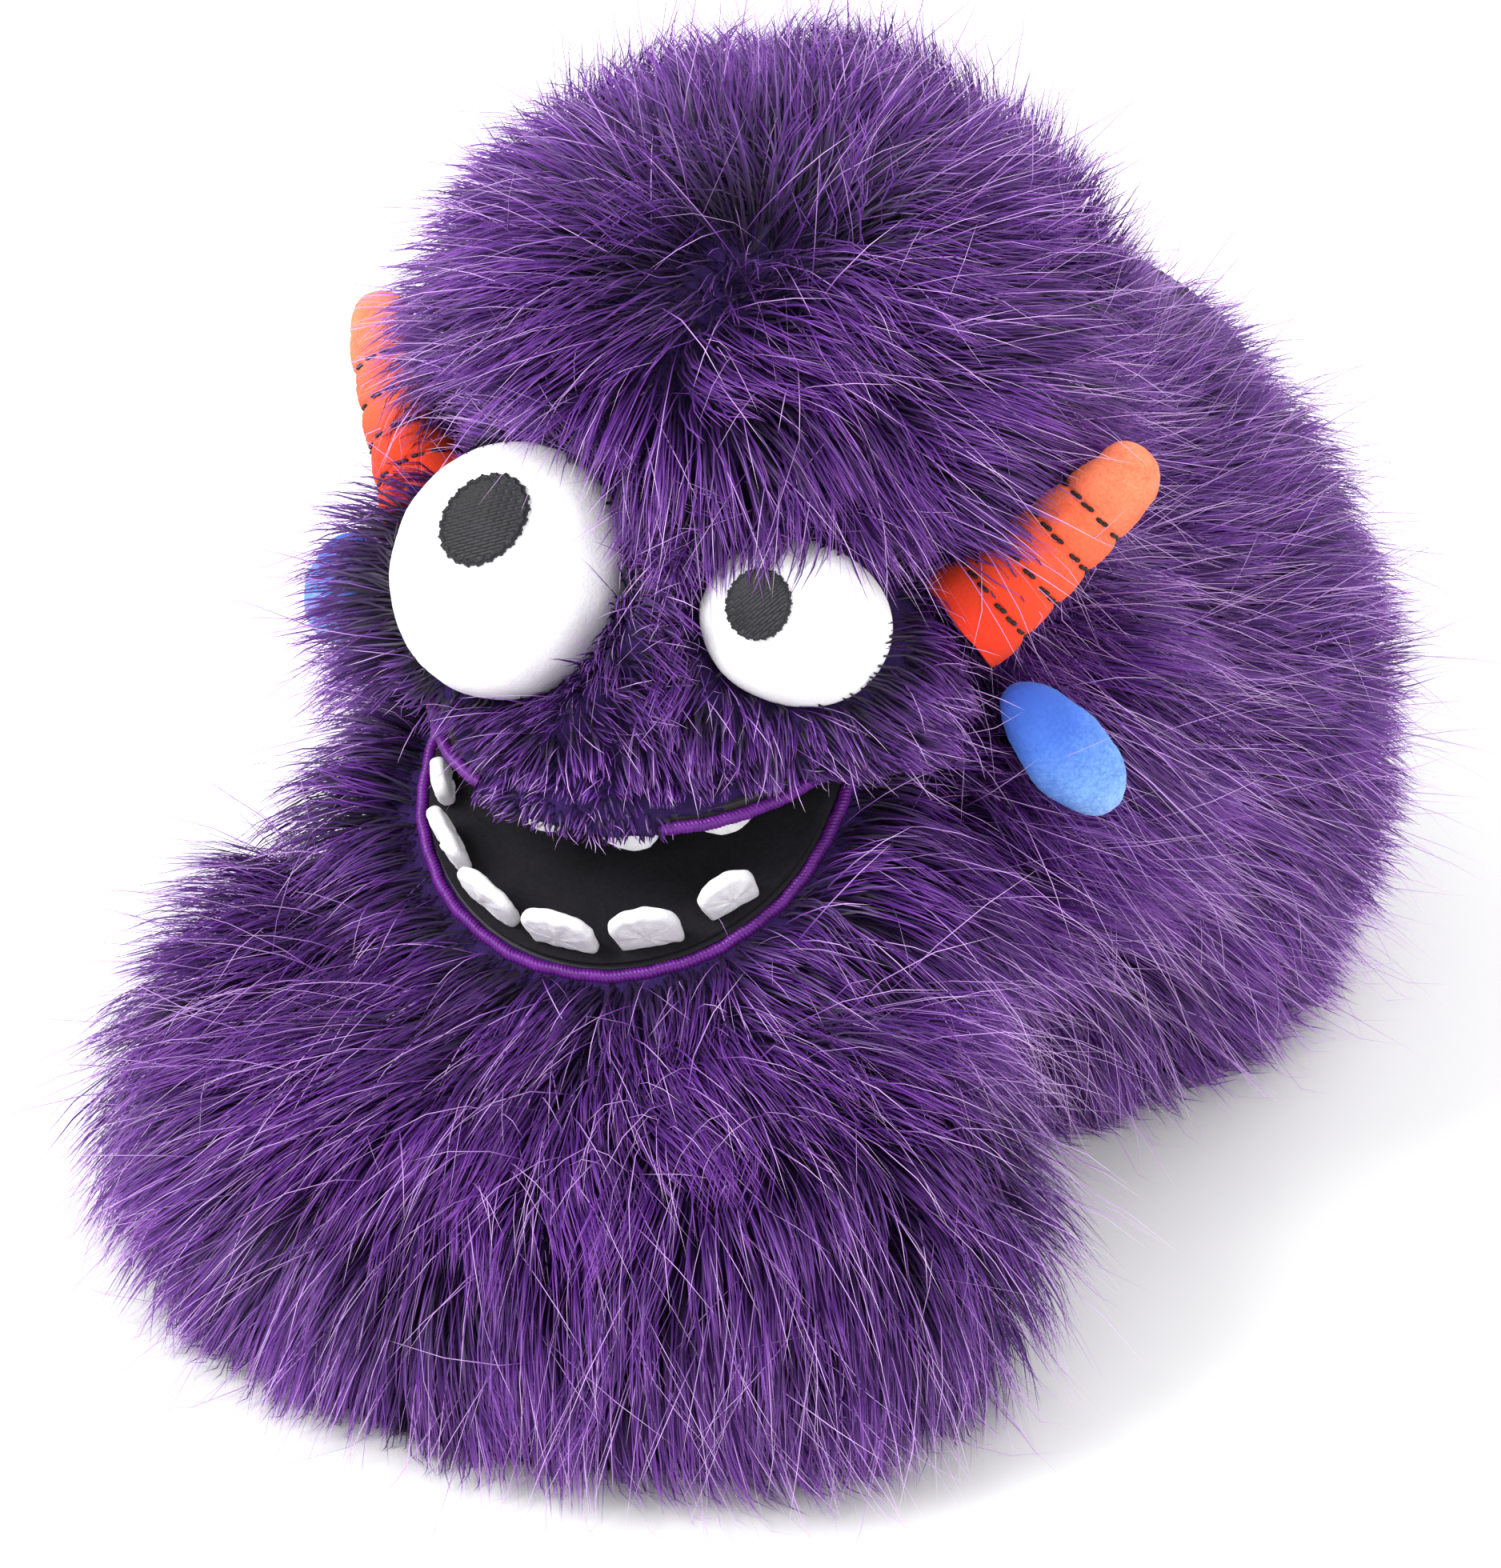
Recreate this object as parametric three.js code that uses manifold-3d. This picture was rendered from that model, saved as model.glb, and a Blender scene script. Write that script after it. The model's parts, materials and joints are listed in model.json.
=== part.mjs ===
// A moving-mouth hand puppet: a long-pile plush monster that an arm enters from behind.
// Frame: millimetres, X across, the face looks along -Y, +Z up, Z = 0 on the table.
// The mouth folds on one line across X. The head and the jaw both turn about that line.

import * as THREE from 'three';
import { mergeVertices } from 'three/addons/utils/BufferGeometryUtils.js';
import Module from 'manifold-3d';

const wasm = await Module();
wasm.setup();

// ---------------------------------------------------------------- sizes, mm and degrees

const gap = 0.3;                  // between pieces that touch
const furBacking = 3;             // knitted backing with its seam allowance
const stitchGap = 0.15;            // thread lies this much further out, clear of the facets
const liningThickness = 1.5;
const foldY = 5;                  // the fold line of the mouth
const foldZ = 122;
const foldTapeRadius = 1.8;

// Lobes under the fur: centre and half sizes of the skin, and the depth of the combed pile over it
const headLobe = { centre: [0, 45, 168], half: [55, 62, 48], pile: 26 };
const faceLobe = { centre: [0, 0, 132], half: [58, 36, 32], pile: 12 };
const chinLobe = { centre: [0, -45, 36], half: [84, 52, 50], pile: 28 };
const jawLobe = { centre: [0, -14, 82], half: [56, 48, 46], pile: 18 };
const rumpLobe = { centre: [0, 118, 50], half: [88, 92, 97], pile: 28 };
const neckLobe = { centre: [0, 56, 88], half: [68, 58, 62], pile: 26 };
const handPassage = { centre: [0, 48, 102], half: [57, 57, 51], pile: 0 };
const lipShelf = 14;              // fur between the lip and the stuffing around it
const backY = 224;                // flat end of the sleeve
const floorFurZ = 0.6;            // the pile stops just over the table
const cavityFloorZ = 9;           // floor of every stuffed or open space

// The mouth: slopes below the horizontal, towards the front
const upperSlope = 14;
const lowerSlope = 35;
const headOpening = 20;
const jawOpening = 15;
const sweepMargin = 1;
const wedgeGap = 0.5;             // degrees between a soft neck piece and its neighbours
const headReach = 126;            // the head turns inside this radius about the fold
const headReachGap = 2;
const sleeveTopAngle = 5;         // top face of the sleeve, up from +Y
const sleeveThroatAngle = -62;    // front face of the sleeve, up from +Y

const boardHalfWidth = 42;
const upperLip = { start: 14, reach: 36 };
const lowerLip = { start: 26, reach: 42 };
const boardThickness = 2;
const mouthLiningThickness = 1.2;
const mouthLiningFace = 0.6;      // from the fold plane to the lining
const boardBackEdge = 2.8;
const pipingRadius = 1.3;

const toothThickness = 4;
const toothInset = 4;             // from the lip edge to the middle of a tooth
const toothLineHalf = 38;         // the tooth places below are on a line this wide, and spread with the boards
const upperTeeth = [[-27, 11, 6.5], [-9, 13, 8.5], [10, 12, 8.5], [27, 11, 6.5]]; // place, width, height
const lowerTeeth = [[-36, 9, 8], [-29, 13, 12], [-16, 14, 13], [1, 15, 13], [18, 14, 13], [31, 12, 11]];

const fingerPocket = { halfWidth: 33, height: 15.5, front: 18, back: 45 };
const thumbPocket = { halfWidth: 16, height: 22, front: 42, back: 45 };
const pocketWall = 1.2;

const armHoleRadius = 50;
const armHoleZ = 72;
const cuffThickness = 2.4;
const cuffLength = 34;
const basePanel = { centreY: 142, halfWidth: 66, halfLength: 60 };
const chinPanel = { centreY: -50, halfWidth: 74, halfLength: 54 };
const panelThickness = 3;
const label = { width: 24, height: 34, thickness: 0.8 };

// Eyes: [x, y, z], half sizes across, deep and high, turned outwards, tipped up, rolled
const bigEye = { place: [-25, -18, 147.5], half: [24, 14, 26], turn: 6, tip: 24, roll: 22 };
const smallEye = { place: [36, -16.5, 149], half: [18.8, 12, 16], turn: 14, tip: 24, roll: 8 };
const bigPupil = { half: [8.6, 9.4], up: 8.5, across: -6 };
const smallPupil = { half: [6.6, 6.8], up: 2, across: -7.5 };
const pupilThickness = 1;
const wellGap = 1.2;              // fur stands back from the rim of each eye

const horn = { root: [57.6, 12.9, 139.3], rise: [22.7, 20.5, 21.6], length: 50, rootRadius: 11.2, tipRadius: 7.4 };
const hornBend = -7;              // degrees between the root and the tip, towards the crown
const hornRings = 4;
const hornGroove = 0.7;
const stitchRadius = 0.7;
const seamRadius = 0.4;
const ear = { place: [80, 13, 117], half: [9.2, 6.6, 17.5], turn: 35, lean: -36 };
const earSweep = 27;              // radius about the fold that the ear turns in
const earZoneStart = 67;          // the ear's clearance begins this far from the middle
const neckStep = 60;              // degrees over the sleeve's top face where only the head is, at any radius
const wellDepth = 90;

// ---------------------------------------------------------------- solids

function toSolid(geometry, matrix) {
  const bare = geometry.clone();
  if (matrix) bare.applyMatrix4(matrix);
  bare.deleteAttribute('normal');
  bare.deleteAttribute('uv');
  const merged = mergeVertices(bare, 1e-4);
  const mesh = new wasm.Mesh({
    numProp: 3,
    vertProperties: new Float32Array(merged.attributes.position.array),
    triVerts: new Uint32Array(merged.index.array),
  });
  return new wasm.Manifold(mesh);
}

function toGeometry(solid) {
  const mesh = solid.getMesh();
  const geometry = new THREE.BufferGeometry();
  geometry.setAttribute('position', new THREE.BufferAttribute(new Float32Array(mesh.vertProperties), 3));
  geometry.setIndex(new THREE.BufferAttribute(new Uint32Array(mesh.triVerts), 1));
  geometry.computeVertexNormals();
  return geometry;
}

const radians = THREE.MathUtils.degToRad;
const joined = (...solids) => solids.reduce((a, b) => a.add(b));
const cut = (solid, ...tools) => tools.reduce((a, b) => a.subtract(b), solid);
const moved = (x, y, z) => new THREE.Matrix4().makeTranslation(x, y, z);

function ellipsoid(centre, half, around = 22, down = 14) {
  const matrix = moved(...centre).scale(new THREE.Vector3(...half));
  const sphere = new THREE.SphereGeometry(1, around, down).rotateX(Math.PI / 2);
  return toSolid(sphere, matrix);
}

// Lobes joined at their pile, or inside their skin at a depth under it
const furSurface = (...lobes) => joined(...lobes.map((l) => ellipsoid(l.centre, l.half.map((h) => h + l.pile))));
const underSkin = (depth, ...lobes) => joined(...lobes.map((l) => ellipsoid(l.centre, l.half.map((h) => h - depth), 16, 10)));

const big = 400;
const block = (low, high) => {
  const size = high.map((h, i) => h - low[i]);
  const middle = high.map((h, i) => (h + low[i]) / 2);
  return toSolid(new THREE.BoxGeometry(...size), moved(...middle));
};
const above = (z) => block([-big, -big, z], [big, big, big]);

// A wedge about the fold line, from one angle to another, counted up from +Y
function wedge(from, to, radius = big) {
  const shape = new THREE.Shape();
  shape.moveTo(0, 0);
  shape.absarc(0, 0, radius, radians(from), radians(to), false);
  shape.lineTo(0, 0);
  const geometry = new THREE.ExtrudeGeometry(shape, { depth: 2 * big, bevelEnabled: false, curveSegments: 20 });
  const axes = new THREE.Matrix4().makeBasis(
    new THREE.Vector3(0, 1, 0), new THREE.Vector3(0, 0, 1), new THREE.Vector3(1, 0, 0));
  return toSolid(geometry, moved(-big, foldY, foldZ).multiply(axes));
}

// A round bar on the fold line
function foldBar(radius, length, x = 0) {
  const bar = new THREE.CylinderGeometry(radius, radius, length, 20).rotateZ(Math.PI / 2);
  return toSolid(bar, moved(x, foldY, foldZ));
}

// The frame of one half of the mouth: x across, -y forwards along the board, z up from it
const mouthFrame = (slope) => moved(0, foldY, foldZ).multiply(new THREE.Matrix4().makeRotationX(radians(slope)));
const upperFrame = mouthFrame(upperSlope);
const lowerFrame = mouthFrame(lowerSlope);

const boardNear = mouthLiningFace + mouthLiningThickness + gap;
const boardFar = boardNear + boardThickness;
const mouthStack = boardFar + gap;

const underHead = toSolid(new THREE.BoxGeometry(2 * big, 2 * big, big),
  upperFrame.clone().multiply(moved(0, 0, mouthStack - big / 2)));
const overJaw = toSolid(new THREE.BoxGeometry(2 * big, 2 * big, big),
  lowerFrame.clone().multiply(moved(0, 0, big / 2 - mouthStack)));

const neckBottom = sleeveTopAngle + wedgeGap;
const neckTop = sleeveTopAngle + headOpening + sweepMargin - wedgeGap;
const throatBack = 360 + sleeveThroatAngle - wedgeGap;
const throatFront = 360 + sleeveThroatAngle - jawOpening - sweepMargin + wedgeGap;
const headZone = wedge(sleeveTopAngle + headOpening + sweepMargin, 180 + upperSlope, headReach);
const jawZone = wedge(180 + lowerSlope, 360 + sleeveThroatAngle - jawOpening - sweepMargin);
const foldCore = foldBar(mouthStack + gap, 2 * big);
const movingZone = joined(
  wedge(sleeveTopAngle, 180 + upperSlope, headReach + headReachGap),
  wedge(sleeveTopAngle + neckStep, 180 + upperSlope),
  wedge(180, 360 + sleeveThroatAngle),
  foldCore,
);
const earZone = joined(foldBar(earSweep + gap, big, big / 2 + earZoneStart), foldBar(earSweep + gap, big, -big / 2 - earZoneStart));

// ---------------------------------------------------------------- pieces that the fur is cut for

// A lip outline: straight sides from the fold, then half an ellipse
function lipPoint(lip, x, inset = 0) {
  const across = boardHalfWidth - inset;
  const reach = lip.reach - inset;
  return -(lip.start + reach * Math.sqrt(Math.max(0, 1 - (x / across) ** 2)));
}

function boardShape(lip, inset = 0) {
  const across = boardHalfWidth - inset;
  const shape = new THREE.Shape();
  shape.moveTo(-across, -boardBackEdge);
  shape.lineTo(-across, -lip.start);
  shape.absellipse(0, -lip.start, across, lip.reach - inset, Math.PI, 2 * Math.PI, false);
  shape.lineTo(across, -boardBackEdge);
  shape.closePath();
  return shape;
}

function plate(lip, low, high) {
  const options = { depth: high - low, bevelEnabled: false, curveSegments: 12 };
  return new THREE.ExtrudeGeometry(boardShape(lip), options).translate(0, 0, low);
}

function roundedBox(halfWidth, low, high, corner) {
  const shape = new THREE.Shape();
  shape.moveTo(-halfWidth + corner, low);
  shape.lineTo(halfWidth - corner, low);
  shape.absarc(halfWidth - corner, low + corner, corner, -Math.PI / 2, 0, false);
  shape.absarc(halfWidth - corner, high - corner, corner, 0, Math.PI / 2, false);
  shape.absarc(-halfWidth + corner, high - corner, corner, Math.PI / 2, Math.PI, false);
  shape.absarc(-halfWidth + corner, low + corner, corner, Math.PI, 1.5 * Math.PI, false);
  return shape;
}

// A pocket that runs back from its closed front; grow widens it for the cut around it
function pocketBlock(halfWidth, low, high, front, back, frame, grow) {
  const shape = roundedBox(halfWidth + grow, low - grow, high + grow, Math.min(7, (high - low) / 2) + grow);
  const geometry = new THREE.ExtrudeGeometry(shape, { depth: front + grow + back, bevelEnabled: false, curveSegments: 3 });
  return toSolid(geometry.rotateX(Math.PI / 2), frame.clone().multiply(moved(0, back, 0)));
}

const pocketLow = mouthStack;
// The fur rolls in under each lip, and the stuffing stops short of it
function lipRoll(lip, frame, up, grow) {
  const deep = mouthStack + lipShelf + grow;
  const slab = toSolid(new THREE.BoxGeometry(2 * big, 2 * big, 2 * deep), frame);
  const shape = boardShape(lip, furBacking + grow);
  const column = new THREE.ExtrudeGeometry(shape, { depth: 3 * deep, bevelEnabled: false, curveSegments: 8 });
  const behindFold = toSolid(new THREE.BoxGeometry(2 * big, big, 4 * deep), frame.clone().multiply(moved(0, big / 2 - lip.start, 0)));
  return cut(slab, toSolid(column, frame.clone().multiply(moved(0, 0, up > 0 ? 0 : -3 * deep))), behindFold);
}
const upperRoll = (grow) => lipRoll(upperLip, upperFrame, 1, grow);
const lowerRoll = (grow) => lipRoll(lowerLip, lowerFrame, -1, grow);

const fingerSpace = (grow) => pocketBlock(fingerPocket.halfWidth, pocketLow + pocketWall,
  pocketLow + pocketWall + fingerPocket.height, fingerPocket.front, fingerPocket.back, upperFrame, grow);
const thumbSpace = (grow) => pocketBlock(thumbPocket.halfWidth, -pocketLow - pocketWall - thumbPocket.height,
  -pocketLow - pocketWall, thumbPocket.front, thumbPocket.back, lowerFrame, grow);

function eyeFrame(eye) {
  const turned = new THREE.Euler(radians(-eye.tip), radians(eye.roll), radians(eye.turn), 'ZXY');
  return moved(...eye.place).multiply(new THREE.Matrix4().makeRotationFromEuler(turned));
}

function eyeDome(eye, grow = 0) {
  const sphere = new THREE.SphereGeometry(1, 16, 10).rotateX(Math.PI / 2);
  const half = eye.half.map((h) => h + grow);
  const front = toSolid(new THREE.BoxGeometry(big, big, big), moved(0, -big / 2 + grow, 0));
  return toSolid(sphere, new THREE.Matrix4().makeScale(...half)).intersect(front);
}

// The fur parts around an eye in a shallow cone
function eyeWell(eye) {
  const cone = new THREE.CylinderGeometry(1, 1.5, wellDepth, 16).translate(0, -wellDepth / 2, 0);
  const scale = new THREE.Matrix4().makeScale(eye.half[0] + wellGap, 1, eye.half[2] + wellGap);
  return toSolid(cone, eyeFrame(eye).multiply(moved(0, gap, 0)).multiply(scale));
}

const ringOut = gap + stitchRadius + stitchGap;

// Horn profile along its length: swells between the stitched rings, then a round tip
const hornTaper = (t) => horn.rootRadius + (horn.tipRadius - horn.rootRadius) * t;

function hornRadius(t) {
  return hornTaper(t) - hornGroove * (1 - Math.abs(Math.sin(Math.PI * t * (hornRings + 1))));
}

function bend(geometry) {
  const position = geometry.attributes.position;
  const turn = radians(hornBend);
  const radius = horn.length / turn;
  for (let i = 0; i < position.count; i++) {
    const angle = (position.getZ(i) / horn.length) * turn;
    const r = radius - position.getX(i);
    position.setX(i, radius - r * Math.cos(angle));
    position.setZ(i, r * Math.sin(angle));
  }
  return geometry;
}

function hornFrame(side) {
  const rise = new THREE.Vector3(...horn.rise).normalize();
  const lean = new THREE.Quaternion().setFromUnitVectors(new THREE.Vector3(0, 0, 1), rise);
  const frame = moved(...horn.root).multiply(new THREE.Matrix4().makeRotationFromQuaternion(lean));
  const mirror = new THREE.Matrix4().makeScale(side, 1, 1);
  return mirror.multiply(frame);
}

function hornSolid() {
  const points = [new THREE.Vector2(0, 0)];
  const steps = 3 * (hornRings + 1);
  const shoulder = horn.length - horn.tipRadius;
  for (let i = 0; i <= steps; i++) points.push(new THREE.Vector2(hornRadius(i / steps), (i / steps) * shoulder));
  const end = hornRadius(1);
  for (const a of [25, 50, 70]) {
    points.push(new THREE.Vector2(end * Math.cos(radians(a)), shoulder + horn.tipRadius * Math.sin(radians(a))));
  }
  points.push(new THREE.Vector2(0, horn.length));
  const lathe = new THREE.LatheGeometry(points, 12).rotateX(Math.PI / 2);
  return toSolid(bend(lathe));
}

// The plain tapered hole that a horn and its stitches stand in
function hornHole() {
  const clear = ringOut + stitchRadius + gap;
  const points = [new THREE.Vector2(0, -gap)];
  for (let i = 0; i <= 4; i++) {
    const t = i / 4;
    points.push(new THREE.Vector2(hornTaper(t) + clear, -gap + t * (horn.length + 2 * gap)));
  }
  points.push(new THREE.Vector2(0, horn.length + gap));
  return toSolid(bend(new THREE.LatheGeometry(points, 12).rotateX(Math.PI / 2)));
}

function mirrored(solid, side, frame) {
  return solid.transform(frame(side).toArray());
}

function earSolid(side, grow = 0) {
  const sphere = new THREE.SphereGeometry(1, 12, 8).rotateX(Math.PI / 2);
  const turned = new THREE.Euler(0, radians(ear.lean), radians(ear.turn), 'ZXY');
  const frame = new THREE.Matrix4().makeScale(side, 1, 1).multiply(moved(...ear.place))
    .multiply(new THREE.Matrix4().makeRotationFromEuler(turned));
  return toSolid(sphere, new THREE.Matrix4().makeScale(...ear.half.map((h) => h + grow))).transform(frame.toArray());
}

function panel(spec, grow = 0) {
  const disc = new THREE.CylinderGeometry(1, 1, 1, 32).rotateX(Math.PI / 2);
  const height = panelThickness + grow;
  const matrix = moved(0, spec.centreY, height / 2)
    .scale(new THREE.Vector3(spec.halfWidth + grow, spec.halfLength + grow, height));
  return toSolid(disc, matrix);
}

const handSpace = underSkin(furBacking, handPassage);
const armHole = (radius, from, to) => toSolid(
  new THREE.CylinderGeometry(radius, radius, to - from, 28), moved(0, (from + to) / 2, armHoleZ));

const sides = { right: -1, left: 1 };
const hornHoles = joined(...Object.values(sides).map((s) => mirrored(hornHole(), s, hornFrame)));
const earHoles = joined(...Object.values(sides).map((s) => earSolid(s, gap)));
const eyeWells = joined(eyeWell(bigEye), eyeWell(smallEye));

// ---------------------------------------------------------------- head

function headFur() {
  const inner = cut(underSkin(furBacking, headLobe, faceLobe), upperRoll(0));
  const shell = cut(furSurface(headLobe, faceLobe), inner).intersect(headZone);
  return cut(shell, underHead, eyeWells, hornHoles, earHoles, fingerSpace(pocketWall + gap));
}

function headStuffing() {
  const core = cut(underSkin(furBacking + gap, headLobe, faceLobe), upperRoll(gap));
  return cut(core.intersect(headZone), underHead, eyeWells, hornHoles, fingerSpace(pocketWall + gap));
}

const openBack = (outer, inner, zone) => cut(outer, inner).intersect(zone);

function fingerLiner() {
  const inner = fingerSpace(0);
  return cut(openBack(fingerSpace(pocketWall - gap), inner, headZone), underHead, upperPocketBack);
}

// The finger pocket ends square behind the fold
const upperPocketBack = toSolid(new THREE.BoxGeometry(big, big, big),
  upperFrame.clone().multiply(moved(0, fingerPocket.back - pocketWall + big / 2, 0)));

// ---------------------------------------------------------------- jaw

function beardFur() {
  const inner = cut(underSkin(furBacking, chinLobe, jawLobe), lowerRoll(0)).intersect(above(cavityFloorZ));
  const shell = cut(furSurface(chinLobe, jawLobe), inner).intersect(jawZone).intersect(above(floorFurZ));
  return cut(shell, overJaw, panel(chinPanel, gap), earZone, thumbSpace(pocketWall + gap));
}

function jawStuffing() {
  const core = cut(underSkin(furBacking + gap, chinLobe, jawLobe), lowerRoll(gap));
  const inside = core.intersect(jawZone).intersect(above(cavityFloorZ + gap));
  return cut(inside, overJaw, thumbSpace(pocketWall + gap));
}

function thumbLiner() {
  return cut(openBack(thumbSpace(pocketWall - gap), thumbSpace(0), jawZone), overJaw);
}

// ---------------------------------------------------------------- sleeve

const sleeveCavity = (depth) => underSkin(depth, rumpLobe, handPassage)
  .intersect(above(cavityFloorZ + depth - furBacking));

function sleeveFur() {
  const outer = furSurface(rumpLobe, neckLobe).intersect(above(floorFurZ));
  const shell = cut(outer, sleeveCavity(furBacking), movingZone, earZone, panel(basePanel, gap));
  return cut(shell, armHole(armHoleRadius, backY - 60, backY + 60), block([-big, backY, -big], [big, big, big]));
}

function sleeveLining() {
  const outside = furBacking + gap;
  const shell = cut(sleeveCavity(outside), sleeveCavity(outside + liningThickness));
  return cut(shell, movingZone, armHole(armHoleRadius, backY - 60, backY + 60));
}

// The cover is one skin over both joints: these soft wedges of it fold as the mouth opens
function neckFur() {
  const outer = furSurface(headLobe, neckLobe, rumpLobe).intersect(wedge(neckBottom, neckTop, headReach));
  return cut(outer, underSkin(furBacking, headLobe, faceLobe, rumpLobe), handSpace, foldCore, earZone);
}

function throatFur() {
  const outer = furSurface(chinLobe, jawLobe, neckLobe, rumpLobe).intersect(wedge(throatFront, throatBack));
  const inner = underSkin(furBacking, chinLobe, jawLobe, rumpLobe).intersect(above(cavityFloorZ));
  return cut(outer.intersect(above(floorFurZ)), inner, handSpace, foldCore, earZone);
}

function cuffBinding() {
  const outer = armHoleRadius - gap;
  const inner = outer - cuffThickness;
  const profile = [[inner, 0], [outer, 0], [outer, cuffLength], [inner, cuffLength], [inner, 0]];
  const ring = new THREE.LatheGeometry(profile.map((p) => new THREE.Vector2(...p)), 28);
  return toSolid(ring, moved(0, backY + 1.5 - cuffLength, armHoleZ));
}

function careLabel() {
  const inner = armHoleRadius - gap - cuffThickness;
  const z = armHoleZ - Math.sqrt(inner ** 2 - (label.width / 2) ** 2) + gap;
  return block([-label.width / 2, backY - label.height, z], [label.width / 2, backY, z + label.thickness]);
}

// ---------------------------------------------------------------- small pieces

function tooth(width, height) {
  const half = width / 2;
  const straight = height - half * 0.8;
  const shape = new THREE.Shape();
  shape.moveTo(-half * 0.92, 0);
  shape.lineTo(half * 0.92, 0);
  shape.lineTo(half, straight);
  shape.absellipse(0, straight, half, height - straight, 0, Math.PI, false);
  shape.closePath();
  const options = { depth: toothThickness - 1.2, bevelEnabled: true, bevelThickness: 0.6, bevelSize: 0.6,
    bevelOffset: -0.6, bevelSegments: 1, curveSegments: 4 };
  return new THREE.ExtrudeGeometry(shape, options).translate(0, 0, 0.6 - toothThickness / 2);
}

// Teeth stand on the lip and face outwards from it; up is 1 on the lower lip, -1 on the upper
function placeTooth(lip, [place, width, height], up) {
  const across = boardHalfWidth - toothInset;
  const x = place * across / toothLineHalf;
  const y = lipPoint(lip, x, toothInset);
  const reach = lip.reach - toothInset;
  const facing = Math.atan2(x / across ** 2, -(y + lip.start) / reach ** 2);
  const turn = new THREE.Matrix4().makeRotationZ(facing * 0.85);
  const stand = new THREE.Matrix4().makeRotationX((up * Math.PI) / 2);
  const seat = mouthLiningFace - gap;
  return tooth(width, height).applyMatrix4(moved(x, y, -up * seat).multiply(turn).multiply(stand));
}

function piping(lip, z) {
  const out = gap + pipingRadius;
  const points = [];
  const steps = 14;
  for (let i = 0; i <= steps; i++) {
    const a = Math.PI * (1 + i / steps);
    points.push(new THREE.Vector3((boardHalfWidth + out) * Math.cos(a), -lip.start + (lip.reach + out) * Math.sin(a), z));
  }
  points.unshift(new THREE.Vector3(-boardHalfWidth - out, -boardBackEdge - 3, z));
  points.push(new THREE.Vector3(boardHalfWidth + out, -boardBackEdge - 3, z));
  const path = new THREE.CatmullRomCurve3(points, false, 'centripetal');
  const section = new THREE.Shape();
  section.absarc(0, 0, pipingRadius, 0, 2 * Math.PI, false);
  return new THREE.ExtrudeGeometry(section, { extrudePath: path, steps: 22, curveSegments: 3, bevelEnabled: false });
}

function pupilCap(eye, spec) {
  const cap = cut(eyeDome(eye, gap + pupilThickness), eyeDome(eye, gap));
  const disc = new THREE.CylinderGeometry(1, 1, 60, 20).translate(0, -30, 0);
  const punch = toSolid(disc, moved(spec.across, 0, spec.up).scale(new THREE.Vector3(spec.half[0], 1, spec.half[1])));
  return cap.intersect(punch);
}

// Rings of running stitch that sit in the horn's grooves, and the seam thread that joins them
function hornStitches() {
  const shoulder = horn.length - horn.tipRadius;
  const ringAt = (i) => i / (hornRings + 1);
  const rings = [];
  for (let i = 1; i <= hornRings; i++) {
    const ring = new THREE.TorusGeometry(hornRadius(ringAt(i)) + ringOut, stitchRadius, 4, 12);
    rings.push(toSolid(bend(ring.translate(0, 0, ringAt(i) * shoulder))));
  }
  const seamPoint = (i) => new THREE.Vector3(-hornRadius(ringAt(i)) - ringOut - stitchGap, 0, ringAt(i) * shoulder);
  const path = new THREE.LineCurve3(seamPoint(1), seamPoint(hornRings));
  const section = new THREE.Shape();
  section.absarc(0, 0, seamRadius, 0, 2 * Math.PI, false);
  const seam = new THREE.ExtrudeGeometry(section, { extrudePath: path, steps: 8, curveSegments: 3, bevelEnabled: false });
  return joined(toSolid(bend(seam)), ...rings);
}

// ---------------------------------------------------------------- colours

const finishes = {
  fur: [0x5b2a92, 0.95],
  stuffing: [0xf2f0ea, 0.95],
  lining: [0x17151a, 0.9],
  felt: [0x0d0b10, 0.95],
  board: [0x2a2a2c, 0.6],
  piping: [0x8a2fa8, 0.45],
  toothFelt: [0xf4f3f2, 0.9],
  eyePlush: [0xfafafa, 0.85],
  embroidery: [0x120e16, 0.5],
  hornPlush: [0xf4653f, 0.85],
  earPlush: [0x5b86df, 0.85],
  baseCloth: [0x1c1b20, 0.85],
  labelSatin: [0xf5f5f2, 0.4],
};

const puppet = new THREE.Group();

function add(name, shape, finish, frame) {
  const geometry = shape.isBufferGeometry ? shape : toGeometry(shape);
  const [color, roughness] = finishes[finish];
  const mesh = new THREE.Mesh(geometry, new THREE.MeshStandardMaterial({ color, roughness, metalness: 0 }));
  mesh.name = name;
  if (frame) frame.decompose(mesh.position, mesh.quaternion, mesh.scale);
  puppet.add(mesh);
}

// ---------------------------------------------------------------- assembly

function addSleeve() {
  add('sleeve_fur', sleeveFur(), 'fur');
  add('sleeve_lining', sleeveLining(), 'lining');
  add('cuff_binding', cuffBinding(), 'lining');
  add('base_panel', panel(basePanel), 'baseCloth');
  add('care_label', careLabel(), 'labelSatin');
  add('neck_fur', neckFur(), 'fur');
  add('throat_fur', throatFur(), 'fur');
  add('mouth_fold_tape', foldBar(foldTapeRadius, 2 * boardHalfWidth - 4), 'felt');
}

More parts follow.
